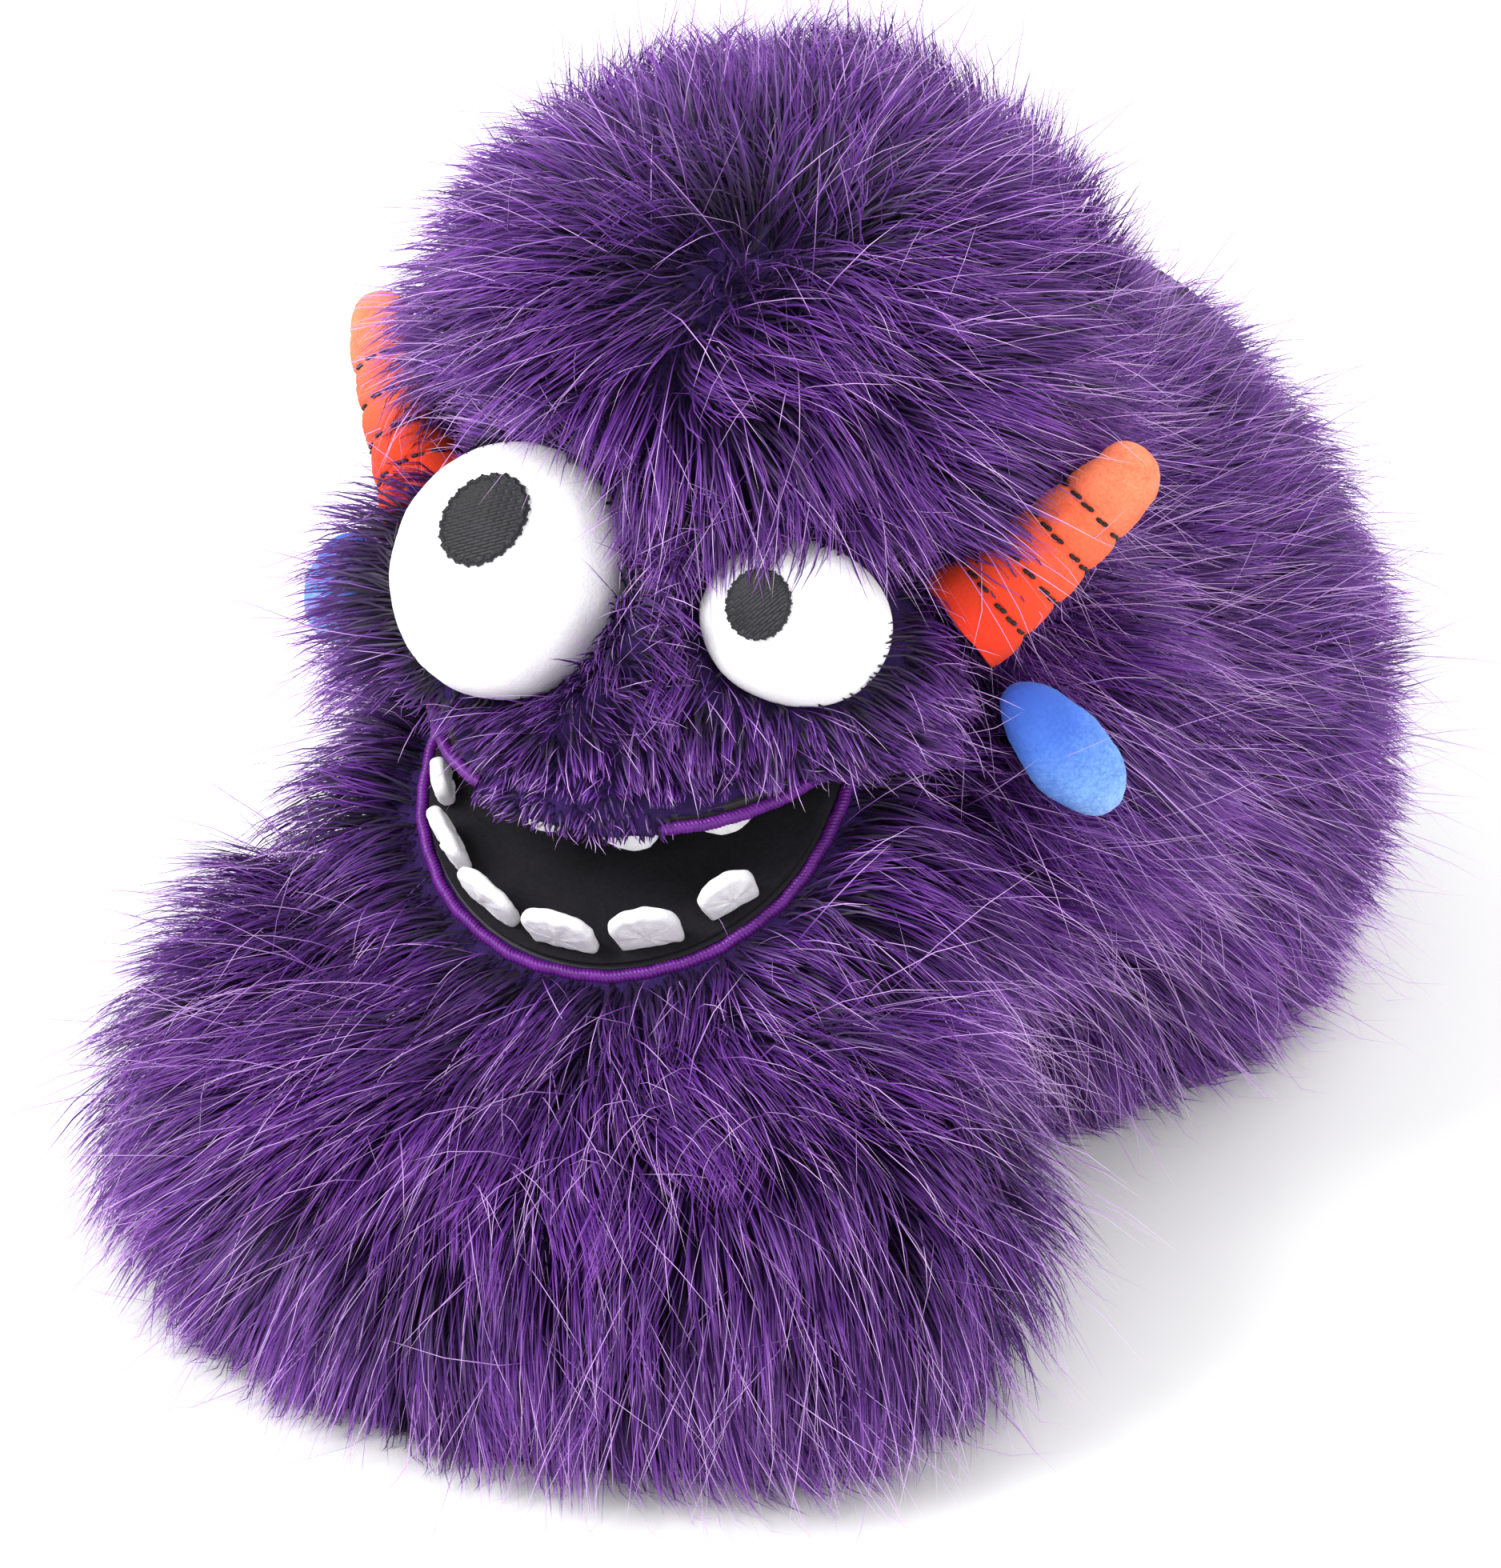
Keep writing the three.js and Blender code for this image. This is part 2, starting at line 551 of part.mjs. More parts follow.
function addHead() {
  add('head_fur', headFur(), 'fur');
  add('head_stuffing', headStuffing(), 'stuffing');
  add('finger_pocket', fingerLiner(), 'lining');
  add('upper_mouth_board', plate(upperLip, boardNear, boardFar), 'board', upperFrame);
  add('upper_mouth_lining', plate(upperLip, mouthLiningFace, boardNear - gap), 'felt', upperFrame);
  add('upper_lip_piping', piping(upperLip, (mouthLiningFace + boardFar) / 2), 'piping', upperFrame);
  upperTeeth.forEach((spec, i) => add(`upper_tooth_${i + 1}`, placeTooth(upperLip, spec, -1), 'toothFelt', upperFrame));
  add('big_eye', eyeDome(bigEye), 'eyePlush', eyeFrame(bigEye));
  add('big_pupil', pupilCap(bigEye, bigPupil), 'embroidery', eyeFrame(bigEye));
  add('small_eye', eyeDome(smallEye), 'eyePlush', eyeFrame(smallEye));
  add('small_pupil', pupilCap(smallEye, smallPupil), 'embroidery', eyeFrame(smallEye));
  for (const [name, side] of Object.entries(sides)) {
    add(`${name}_horn`, mirrored(hornSolid(), side, hornFrame), 'hornPlush');
    add(`${name}_horn_stitches`, mirrored(hornStitches(), side, hornFrame), 'embroidery');
    add(`${name}_ear`, earSolid(side), 'earPlush');
  }
}

function addJaw() {
  add('beard_fur', beardFur(), 'fur');
  add('jaw_stuffing', jawStuffing(), 'stuffing');
  add('thumb_pocket', thumbLiner(), 'lining');
  add('lower_mouth_board', plate(lowerLip, -boardFar, -boardNear), 'board', lowerFrame);
  add('lower_mouth_lining', plate(lowerLip, gap - boardNear, -mouthLiningFace), 'felt', lowerFrame);
  add('lower_lip_piping', piping(lowerLip, -(mouthLiningFace + boardFar) / 2), 'piping', lowerFrame);
  lowerTeeth.forEach((spec, i) => add(`lower_tooth_${i + 1}`, placeTooth(lowerLip, spec, 1), 'toothFelt', lowerFrame));
  add('chin_panel', panel(chinPanel), 'baseCloth');
}

addSleeve();
addHead();
addJaw();

// The origin is under the middle of the box that the puppet fills
const box = new THREE.Box3().setFromObject(puppet, true);
const middle = box.getCenter(new THREE.Vector3());
puppet.position.set(-middle.x, -middle.y, -box.min.z);
puppet.updateMatrixWorld(true);

export default puppet;
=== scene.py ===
import json
import math

import bmesh
import bpy
import numpy as np
from mathutils import Matrix, Vector, noise
from mathutils.kdtree import KDTree


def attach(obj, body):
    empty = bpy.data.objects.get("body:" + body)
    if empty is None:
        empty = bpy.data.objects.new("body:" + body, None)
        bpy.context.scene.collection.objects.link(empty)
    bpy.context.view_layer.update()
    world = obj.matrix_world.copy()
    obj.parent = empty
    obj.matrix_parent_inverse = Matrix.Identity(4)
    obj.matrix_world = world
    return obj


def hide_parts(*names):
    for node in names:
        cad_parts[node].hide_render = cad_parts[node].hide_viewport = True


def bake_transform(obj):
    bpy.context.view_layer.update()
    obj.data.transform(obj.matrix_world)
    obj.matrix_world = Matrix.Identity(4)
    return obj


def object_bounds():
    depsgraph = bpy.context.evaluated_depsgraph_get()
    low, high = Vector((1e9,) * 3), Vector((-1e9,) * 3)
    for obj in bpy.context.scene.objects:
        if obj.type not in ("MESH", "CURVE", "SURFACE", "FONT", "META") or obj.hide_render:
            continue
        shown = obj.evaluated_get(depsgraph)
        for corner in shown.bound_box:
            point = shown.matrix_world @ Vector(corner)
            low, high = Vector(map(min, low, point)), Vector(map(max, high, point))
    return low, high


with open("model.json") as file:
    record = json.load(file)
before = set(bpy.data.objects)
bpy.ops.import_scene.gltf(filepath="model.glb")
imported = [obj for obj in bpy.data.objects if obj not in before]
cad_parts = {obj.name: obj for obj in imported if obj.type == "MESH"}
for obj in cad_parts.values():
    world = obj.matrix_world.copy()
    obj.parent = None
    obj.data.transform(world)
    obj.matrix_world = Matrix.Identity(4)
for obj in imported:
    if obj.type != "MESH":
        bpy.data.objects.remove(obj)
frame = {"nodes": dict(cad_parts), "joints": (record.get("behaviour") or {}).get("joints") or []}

cadLow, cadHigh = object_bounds()
mm = 0.001
fold = next(Vector(j["pos_m"]) for j in frame["joints"] if j["name"] == "head_hinge")
foldAhead = 5      # mm from the start of lengths back to the fold
datum = Vector((0, fold.y - foldAhead * mm, 0))      # mm lengths start here, in the middle, on the table


def at(x, y, z):
    return datum + Vector((x, y, z)) * mm


# camera and light

camera = {"azimuth": 25, "elevation": 30, "distance": 1.2, "lens": 132, "sensor": 36,
          "target": (0, 40, 75)}


def addCamera():
    a, e = math.radians(camera["azimuth"]), math.radians(camera["elevation"])
    back = Vector((math.sin(a) * math.cos(e), -math.cos(a) * math.cos(e), math.sin(e)))
    data = bpy.data.cameras.new("camera")
    data.lens = camera["lens"]
    data.sensor_width = camera["sensor"]
    stand = bpy.data.objects.new("camera", data)
    stand.location = at(*camera["target"]) + back * camera["distance"]
    stand.rotation_euler = (-back).to_track_quat("-Z", "Y").to_euler()
    bpy.context.scene.collection.objects.link(stand)
    bpy.context.scene.camera = stand


lamps = {
    "key": {"place": (-0.75, -0.8, 1.15), "size": 0.6, "watts": 22},
    "fill": {"place": (1.1, -0.7, 0.7), "size": 1.0, "watts": 7},
    "rim": {"place": (0.3, 1.1, 1.0), "size": 0.9, "watts": 10},
}
studio = {"aim": (0, 40, 90), "colour": (1, 1, 1, 1), "strength": 0.78}


def addLamps():
    for name, lamp in lamps.items():
        data = bpy.data.lights.new(name, "AREA")
        data.energy = lamp["watts"]
        data.size = lamp["size"]
        light = bpy.data.objects.new(name, data)
        light.location = lamp["place"]
        aim = at(*studio["aim"]) - light.location
        light.rotation_euler = aim.to_track_quat("-Z", "Y").to_euler()
        bpy.context.scene.collection.objects.link(light)


def addWorld():
    world = bpy.data.worlds.new("studio")
    world.use_nodes = True
    background = world.node_tree.nodes["Background"]
    background.inputs["Color"].default_value = studio["colour"]
    background.inputs["Strength"].default_value = studio["strength"]
    bpy.context.scene.world = world
    bpy.context.scene.view_settings.view_transform = "Standard"


addCamera()
addLamps()
addWorld()
print("camera and lights made")

# mesh helpers


def meshObject(name, points, faces):
    mesh = bpy.data.meshes.new(name)
    mesh.from_pydata([tuple(p) for p in points], [], [tuple(int(i) for i in f) for f in faces])
    mesh.update()
    mesh.shade_smooth()
    piece = bpy.data.objects.new(name, mesh)
    bpy.context.scene.collection.objects.link(piece)
    return piece


def gridFaces(rows, columns, closed=False, first=0):
    faces = []
    for i in range(rows - 1):
        for j in range(columns if closed else columns - 1):
            k = (j + 1) % columns
            a, b = first + i * columns, first + (i + 1) * columns
            faces.append((a + j, a + k, b + k, b + j))
    return faces


def tubeFaces(rows, around):      # a tube with a cap at each end
    faces = gridFaces(rows, around, True)
    return faces + [tuple(range(around)), tuple(range((rows - 1) * around, rows * around))]


def angles(count):
    return [2 * math.pi * k / count for k in range(count)]


def applied(piece):
    graph = bpy.context.evaluated_depsgraph_get()
    mesh = bpy.data.meshes.new_from_object(piece.evaluated_get(graph))
    old = piece.data
    piece.modifiers.clear()
    piece.data = mesh
    bpy.data.meshes.remove(old)
    piece.data.shade_smooth()


def pointsOf(mesh):
    flat = np.zeros(len(mesh.vertices) * 3)
    mesh.vertices.foreach_get("co", flat)
    return flat.reshape(-1, 3)


def normalsOf(mesh):
    flat = np.zeros(len(mesh.vertices) * 3, np.float32)
    mesh.vertex_normals.foreach_get("vector", flat)
    return flat.reshape(-1, 3).astype(float)


def setPoints(mesh, points):
    mesh.vertices.foreach_set("co", np.asarray(points, float).ravel())
    mesh.update()


def outward(piece):
    bm = bmesh.new()
    bm.from_mesh(piece.data)
    bmesh.ops.recalc_face_normals(bm, faces=bm.faces)
    bm.to_mesh(piece.data)
    bm.free()
    return piece


def thickened(piece, thickness, offset):      # mm
    thick = piece.modifiers.new("thick", "SOLIDIFY")
    thick.thickness = thickness * mm
    thick.offset = offset
    applied(piece)
    outward(piece)


def roughened(piece, height, grain):      # small even lumps, in mm, so no cloth face is dead flat
    mesh = piece.data
    points, normals = pointsOf(mesh), normalsOf(mesh)
    lift = np.array([noise.noise(Vector(p) / (grain * mm)) for p in points])
    setPoints(mesh, points + normals * (lift * height * mm)[:, None])


def unit(v):
    return v / np.maximum(np.linalg.norm(v, axis=-1, keepdims=True), 1e-9)


def ease(x, low, high):
    t = np.clip((x - low) / (high - low), 0, 1)
    return t * t * (3 - 2 * t)


def turned(point, frameMatrix):      # local mm to the row frame
    return frameMatrix @ (Vector(point) * mm)


def local(matrix, points):      # row frame to local mm
    inverse = np.array(matrix.inverted())
    return (points @ inverse[:3, :3].T + inverse[:3, 3]) / mm


def placed(matrix, points):      # local mm to the row frame, for many points
    world = np.array(matrix)
    return (points * mm) @ world[:3, :3].T + world[:3, 3]


def frameAt(place, x=0, y=0, z=0):
    turn = Matrix.Rotation(math.radians(z), 4, "Z") @ Matrix.Rotation(math.radians(x), 4, "X")
    return Matrix.Translation(at(*place)) @ turn @ Matrix.Rotation(math.radians(y), 4, "Y")


# node helpers and shared effects


def newGroup(name, inputs, outputs):
    group = bpy.data.node_groups.new(name, "ShaderNodeTree")
    for label, kind, value in inputs:
        socket = group.interface.new_socket(label, in_out="INPUT", socket_type=kind)
        socket.default_value = value
    for label, kind in outputs:
        group.interface.new_socket(label, in_out="OUTPUT", socket_type=kind)
    return group, group.nodes.new("NodeGroupInput"), group.nodes.new("NodeGroupOutput")


def addNode(tree, kind, settings=None, values=None):      # a value may be another node's socket
    made = tree.nodes.new(kind)
    for key, value in (settings or {}).items():
        setattr(made, key, value)
    for key, value in (values or {}).items():
        if isinstance(value, bpy.types.NodeSocket):
            tree.links.new(value, made.inputs[key])
        else:
            made.inputs[key].default_value = value
    return made


def addMath(tree, operation, *values):
    return addNode(tree, "ShaderNodeMath", {"operation": operation}, dict(enumerate(values))).outputs[0]


def addScaled(tree, vector, scale):
    values = {0: vector, "Scale": scale}
    return addNode(tree, "ShaderNodeVectorMath", {"operation": "SCALE"}, values).outputs[0]


def addRange(tree, value, low, high, toLow, toHigh):
    ends = {"Value": value, "From Min": low, "From Max": high, "To Min": toLow, "To Max": toHigh}
    return addNode(tree, "ShaderNodeMapRange", None, ends).outputs[0]


def addMix(tree, share, first, second):
    values = {"Factor": share, 6: first, 7: second}
    return addNode(tree, "ShaderNodeMix", {"data_type": "RGBA"}, values).outputs[2]


def addRamp(tree, reading, stops):
    made = addNode(tree, "ShaderNodeValToRGB", None, {"Fac": reading})
    bar = made.color_ramp
    for element, (place, colour) in zip(bar.elements, (stops[0], stops[-1])):
        element.position, element.color = place, (*colour, 1)
    for place, colour in stops[1:-1]:
        bar.elements.new(place).color = (*colour, 1)
    return made.outputs["Color"]


def tone(red, green, blue):
    return tuple(c / 12.92 if c <= 0.04045 else ((c + 0.055) / 1.055) ** 2.4
                 for c in (red / 255, green / 255, blue / 255))


napLook = {"fine": 1400, "broad": 160, "fineShare": 0.6, "broadShare": 0.4, "dark": 0.38, "light": 0.6}
strandLook = {
    # root to tip: the near-black roots are painted shade deep in the pile; the paler tips are partly the
    # hair's own colour, partly painted highlight
    "under": [(0, tone(5, 0, 12)), (0.36, tone(36, 5, 62)), (0.76, tone(84, 26, 126)),
              (1, tone(158, 96, 196))],
    "guard": [(0, tone(40, 10, 66)), (0.35, tone(120, 60, 160)), (0.75, tone(208, 166, 232)),
              (1, tone(240, 216, 250))],
    "kinds": 0.8, "darkest": 0.5, "palest": 1.35, "guardFrom": 0.85,
}


def makeNap():      # short brushed pile: soft blotches and a fine nap, by place on the piece, with painted shade in the low places
    group, start, end = newGroup(
        "nap",
        [("Color", "NodeSocketColor", (1, 1, 1, 1)), ("Shadow", "NodeSocketColor", (0.7, 0.7, 0.7, 1)),
         ("Size", "NodeSocketFloat", 1), ("Amount", "NodeSocketFloat", 0.5)],
        [("Color", "NodeSocketColor"), ("Height", "NodeSocketFloat")])
    place = addScaled(group, addNode(group, "ShaderNodeTexCoord").outputs["Object"], start.outputs["Size"])
    fine, broad = (addNode(group, "ShaderNodeTexNoise", None,
                           {"Vector": place, "Scale": napLook[size], "Detail": detail, "Roughness": rough})
                   for size, detail, rough in (("fine", 3, 0.65), ("broad", 2, 0.5)))
    height = addMath(group, "MULTIPLY", broad.outputs["Fac"], napLook["broadShare"])
    height = addMath(group, "MULTIPLY_ADD", fine.outputs["Fac"], napLook["fineShare"], height)
    # the low places of the nap's bump take the Shadow colour: painted shade in the dips of the pile
    spread = addRange(group, height, napLook["dark"], napLook["light"], 1, 0)
    share = addMath(group, "MULTIPLY", spread, start.outputs["Amount"])
    colour = addMix(group, share, start.outputs["Color"], start.outputs["Shadow"])
    group.links.new(colour, end.inputs["Color"])
    group.links.new(height, end.inputs["Height"])
    return group


def makeWeave():      # crossing yarns of a plain woven cloth, by place on the piece; the darker gap colour is painted shade between the yarns
    group, start, end = newGroup(
        "weave",
        [("Color", "NodeSocketColor", (1, 1, 1, 1)), ("GapShade", "NodeSocketColor", (0.5, 0.5, 0.5, 1)),
         ("Yarns", "NodeSocketFloat", 900)],
        [("Color", "NodeSocketColor"), ("Height", "NodeSocketFloat")])
    place = addScaled(group, addNode(group, "ShaderNodeTexCoord").outputs["Object"], start.outputs["Yarns"])
    axes = addNode(group, "ShaderNodeSeparateXYZ", None, {0: place})
    waves = [addMath(group, "SINE", axes.outputs[axis]) for axis in ("X", "Y")]
    height = addRange(group, addMath(group, "MULTIPLY", *waves), -1, 1, 0, 1)
    colour = addMix(group, height, start.outputs["GapShade"], start.outputs["Color"])
    group.links.new(colour, end.inputs["Color"])
    group.links.new(height, end.inputs["Height"])
    return group


def makeStrand():      # hair colour from its own map: across, the kind of hair; along, from root to tip, where painted shade darkens the roots and the paler tips are partly painted highlight
    group, start, end = newGroup(
        "strand",
        [("Kind", "NodeSocketFloat", 0), ("Along", "NodeSocketFloat", 0)],
        [("Color", "NodeSocketColor")])
    under, guard = (addRamp(group, start.outputs["Along"], strandLook[kind]) for kind in ("under", "guard"))
    depth = addRange(group, start.outputs["Kind"], 0, strandLook["kinds"], strandLook["darkest"],
                     strandLook["palest"])
    isGuard = addMath(group, "GREATER_THAN", start.outputs["Kind"], strandLook["guardFrom"])
    group.links.new(addMix(group, isGuard, addScaled(group, under, depth), guard), end.inputs["Color"])
    return group


napGroup, weaveGroup, strandGroup = makeNap(), makeWeave(), makeStrand()


def newMaterial(name, roughness, sheen=0.0, sheenTint=(1, 1, 1), specular=0.3):
    made = bpy.data.materials.new(name)
    made.use_nodes = True
    shader = made.node_tree.nodes["Principled BSDF"]
    shader.inputs["Roughness"].default_value = roughness
    shader.inputs["Specular IOR Level"].default_value = specular
    shader.inputs["Sheen Weight"].default_value = sheen
    shader.inputs["Sheen Tint"].default_value = (*sheenTint, 1)
    return made, made.node_tree, shader


def placeGroup(tree, group, values):
    full = {key: (*value, 1) if isinstance(value, tuple) else value for key, value in values.items()}
    return addNode(tree, "ShaderNodeGroup", {"node_tree": group}, full)


def coloured(tree, shader, group, depth):      # colour and bump from a placed group; depth in mm
    bump = addNode(tree, "ShaderNodeBump", None, {"Distance": depth * mm, "Height": group.outputs["Height"]})
    tree.links.new(group.outputs["Color"], shader.inputs["Base Color"])
    tree.links.new(bump.outputs["Normal"], shader.inputs["Normal"])


def plushMaterial(name, colour, shadow, size=1.0, amount=0.5, roughness=0.9, sheen=0.3, depth=0.25,
                  fade=None):
    made, tree, shader = newMaterial(name, roughness, sheen, colour)
    nap = placeGroup(tree, napGroup, {"Color": colour, "Shadow": shadow, "Size": size, "Amount": amount})
    if fade:      # colours along the piece, read from the attribute "along"
        reader = addNode(tree, "ShaderNodeAttribute", {"attribute_name": "along"})
        tree.links.new(addRamp(tree, reader.outputs["Fac"], fade), nap.inputs["Color"])
    coloured(tree, shader, nap, depth)
    return made


def clothMaterial(name, colour, gap, yarns, roughness=0.85, sheen=0.2, depth=0.12):
    made, tree, shader = newMaterial(name, roughness, sheen, colour)
    # gap is a darker colour painted as shade between the yarns
    weave = placeGroup(tree, weaveGroup, {"Color": colour, "GapShade": gap, "Yarns": float(yarns)})
    coloured(tree, shader, weave, depth)
    return made


def furMaterial():
    made, tree, shader = newMaterial("longPile", 0.48, 0.12, tone(190, 150, 230), 0.35)
    lookup = addNode(tree, "ShaderNodeUVMap", {"uv_map": "OFBake"})
    axes = addNode(tree, "ShaderNodeSeparateXYZ", None, {0: lookup.outputs["UV"]})
    strand = placeGroup(tree, strandGroup, {"Kind": axes.outputs["X"], "Along": axes.outputs["Y"]})
    tree.links.new(strand.outputs["Color"], shader.inputs["Base Color"])
    return made


def dress(piece, material):
    piece.data.materials.clear()
    piece.data.materials.append(material)


felt = plushMaterial("mouthFelt", tone(24, 22, 28), tone(8, 7, 10), 0.8, 0.7, 0.95, 0.2, 0.3)
print("materials made")

# cover: the knitted backing that the pile stands on

eyes = {
    "big": {"place": (-25, -18, 147.5), "half": (24, 14, 26), "turn": 6, "tip": 24, "roll": 22,
            "pupil": (7.9, 10), "across": -6, "up": 8.5, "lean": 18},
    "small": {"place": (36, -16.5, 149), "half": (18.8, 12, 16), "turn": 14, "tip": 24, "roll": 8,
              "pupil": (6.5, 6.9), "across": -6.2, "up": 3, "lean": 10},
}


def eyeMatrix(eye):
    return frameAt(eye["place"], -eye["tip"], eye["roll"], eye["turn"])


cover = {
    "lobes": [      # centre and half size
        ((0, 45, 168), (55, 62, 48)),      # head
        ((0, 0, 132), (58, 38, 32)),       # face
        ((0, -45, 38), (82, 52, 50)),      # chin
        ((0, -14, 82), (56, 48, 46)),      # jaw
        ((0, 118, 50), (88, 92, 97)),      # rump
        ((0, 56, 88), (68, 58, 62)),       # neck
    ],
    "around": 56, "down": 32, "voxel": 3.2, "smooth": (10, 4), "floor": 3.4, "lipGap": 2.2, "cutReach": 150,
    "cutWidth": 160, "socket": (0.98, 1.3), "socketReach": 40, "socketDepth": 1.5,
    "upperSlope": 14, "lowerSlope": 35, "splitFront": 204, "splitBack": -51,
}
armHole = {"radius": 50, "height": 72, "around": 48,
           "profile": [(0, 92), (26, 95), (42, 106), (50, 128), (50, 270)]}

upperFrame = Matrix.Translation(fold) @ Matrix.Rotation(math.radians(cover["upperSlope"]), 4, "X")
lowerFrame = Matrix.Translation(fold) @ Matrix.Rotation(math.radians(cover["lowerSlope"]), 4, "X")


def lathe(profile, around):      # (radius, y) pairs turned about the arm hole's axis
    points = []
    for radius, y in profile:
        wide = max(radius, 0.01)
        points += [at(wide * math.cos(a), y, armHole["height"] + wide * math.sin(a)) for a in angles(around)]
    return points


def cutAway(piece, cutter):
    cut = piece.modifiers.new("cut", "BOOLEAN")
    cut.operation = "DIFFERENCE"
    cut.solver = "EXACT"
    cut.object = cutter
    applied(piece)
    bpy.data.objects.remove(cutter, do_unlink=True)


def mouthCutter():
    gap, reach, wide = cover["lipGap"], cover["cutReach"], cover["cutWidth"] * mm
    outline = [turned((0, 0, -gap), lowerFrame), turned((0, -reach, -gap), lowerFrame),
               turned((0, -reach, gap), upperFrame), turned((0, 0, gap), upperFrame)]
    points = [Vector((x, p.y, p.z)) for x in (-wide, wide) for p in outline]
    faces = [(0, 1, 2, 3), (7, 6, 5, 4)] + [(i, i + 4, (i + 1) % 4 + 4, (i + 1) % 4) for i in range(4)]
    return outward(meshObject("mouthCutter", points, faces))


def armCutter():
    points = lathe(armHole["profile"], armHole["around"])
    return outward(meshObject("armCutter", points, tubeFaces(len(armHole["profile"]), armHole["around"])))


def makeCover():
    bm = bmesh.new()
    for centre, half in cover["lobes"]:
        size = Matrix.Translation(at(*centre)) @ Matrix.Diagonal((*(h * mm for h in half), 1))
        bmesh.ops.create_uvsphere(bm, u_segments=cover["around"], v_segments=cover["down"], radius=1,
                                  matrix=size)
    mesh = bpy.data.meshes.new("cover")
    bm.to_mesh(mesh)
    bm.free()
    piece = bpy.data.objects.new("cover", mesh)
    bpy.context.scene.collection.objects.link(piece)
    for step, rounds in enumerate(cover["smooth"]):
        melt = piece.modifiers.new("melt", "REMESH")
        melt.mode = "VOXEL"
        melt.voxel_size = cover["voxel"] * mm
        soften = piece.modifiers.new("soften", "SMOOTH")
        soften.iterations = rounds
        applied(piece)
        if step == 0:
            cutAway(piece, mouthCutter())
            cutAway(piece, armCutter())
    points = pointsOf(piece.data)
    points[:, 2] = np.maximum(points[:, 2], cover["floor"] * mm)
    for eye in eyes.values():      # a socket behind each eye
        matrix = eyeMatrix(eye)
        inEye = local(matrix, points)
        share = np.sqrt((inEye[:, 0] / eye["half"][0]) ** 2 + (inEye[:, 2] / eye["half"][2]) ** 2)
        sunk = (1 - ease(share, *cover["socket"])) * (np.abs(inEye[:, 1]) < cover["socketReach"])
        inEye[:, 1] += np.maximum(cover["socketDepth"] - inEye[:, 1], 0) * sunk
        points = placed(matrix, inEye)
    setPoints(piece.data, points)
    return piece


def panelOf(source, keep, name):
    quads = np.zeros(len(source.loops), int)
    source.loops.foreach_get("vertex_index", quads)
    starts = np.zeros(len(source.polygons), int)
    counts = np.zeros(len(source.polygons), int)
    source.polygons.foreach_get("loop_start", starts)
    source.polygons.foreach_get("loop_total", counts)
    chosen = [quads[s:s + n] for s, n, k in zip(starts, counts, keep) if k]
    used = np.unique(np.concatenate(chosen))
    renumber = {v: i for i, v in enumerate(used)}
    points = pointsOf(source)[used]
    return meshObject(name, points, [[renumber[v] for v in face] for face in chosen])


wholeCover = makeCover()
centres = np.zeros(len(wholeCover.data.polygons) * 3)
wholeCover.data.polygons.foreach_get("center", centres)
centres = centres.reshape(-1, 3)


def foldAngle(points):      # degrees about the fold, 0 straight back, 90 up
    a = np.degrees(np.arctan2(points[:, 2] - fold.z, points[:, 1] - fold.y))
    return np.where(a < cover["splitBack"], a + 360, a)


def bendUpper(piece):
    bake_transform(piece)


def bendLower(piece):
    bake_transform(piece)


backing = plushMaterial("backing", tone(46, 20, 84), tone(20, 8, 40), 1.0, 0.8, 0.95, 0.05, 0.4)
isUpper = foldAngle(centres) < cover["splitFront"]
upperCover = panelOf(wholeCover.data, isUpper, "upper_cover")
lowerCover = panelOf(wholeCover.data, ~isUpper, "lower_cover")
for piece, bendIt in ((upperCover, bendUpper), (lowerCover, bendLower)):
    dress(piece, backing)
    bendIt(piece)
bpy.data.objects.remove(wholeCover, do_unlink=True)
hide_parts("head_stuffing", "neck_fur")
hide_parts("jaw_stuffing", "throat_fur")
print("cover made")

# eyes

dome = {"around": 72, "rings": 26, "sweep": 100, "fullness": 0.46, "back": 2.6}
thread = {"pitch": 0.62, "stitch": 3.4, "raise": 0.22, "step": 0.17, "slant": 62, "margin": 0.6,
          "backing": 0.3, "shift": 1.37, "border": (0.84, 0.88)}
eyePlush = plushMaterial("eyePlush", tone(250, 249, 250), tone(226, 224, 232), 1.0, 0.35, 0.95, 0.4, 0.18)


def domeDepth(eye, x, z):
    share = (x / eye["half"][0]) ** 2 + (z / eye["half"][2]) ** 2
    return eye["half"][1] * np.maximum(1 - share, 0) ** dome["fullness"]


def makeEye(name, eye):
    around, rings = dome["around"], dome["rings"]
    points = [(0, -eye["half"][1], 0)]
    for i in range(1, rings + 1):
        a = math.radians(dome["sweep"]) * i / rings
        for t in angles(around):
            share = math.sin(a) if a < math.pi / 2 else 1 - 0.5 * (1 - math.sin(a))
            x, z = eye["half"][0] * share * math.cos(t), eye["half"][2] * share * math.sin(t)
            y = -float(domeDepth(eye, x, z)) if a < math.pi / 2 else 2.2 * (a - math.pi / 2) / 0.17
            points.append((x, y, z))
    points.append((0, dome["back"], 0))
    faces = [(0, 1 + (k + 1) % around, 1 + k) for k in range(around)]
    faces += gridFaces(rings, around, True, 1)
    last = 1 + (rings - 1) * around
    faces += [(len(points) - 1, last + k, last + (k + 1) % around) for k in range(around)]
    matrix = eyeMatrix(eye)
    piece = outward(meshObject(name + "_eye_plush", [turned(p, matrix) for p in points], faces))
    roughened(piece, 0.35, 7)
    roughened(piece, 0.1, 0.9)
    dress(piece, eyePlush)
    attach(piece, "head")
    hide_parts(name + "_eye")


blackThread = plushMaterial("blackThread", tone(34, 33, 38), tone(10, 10, 13), 1.6, 0.6, 0.5, 0.25, 0.08)


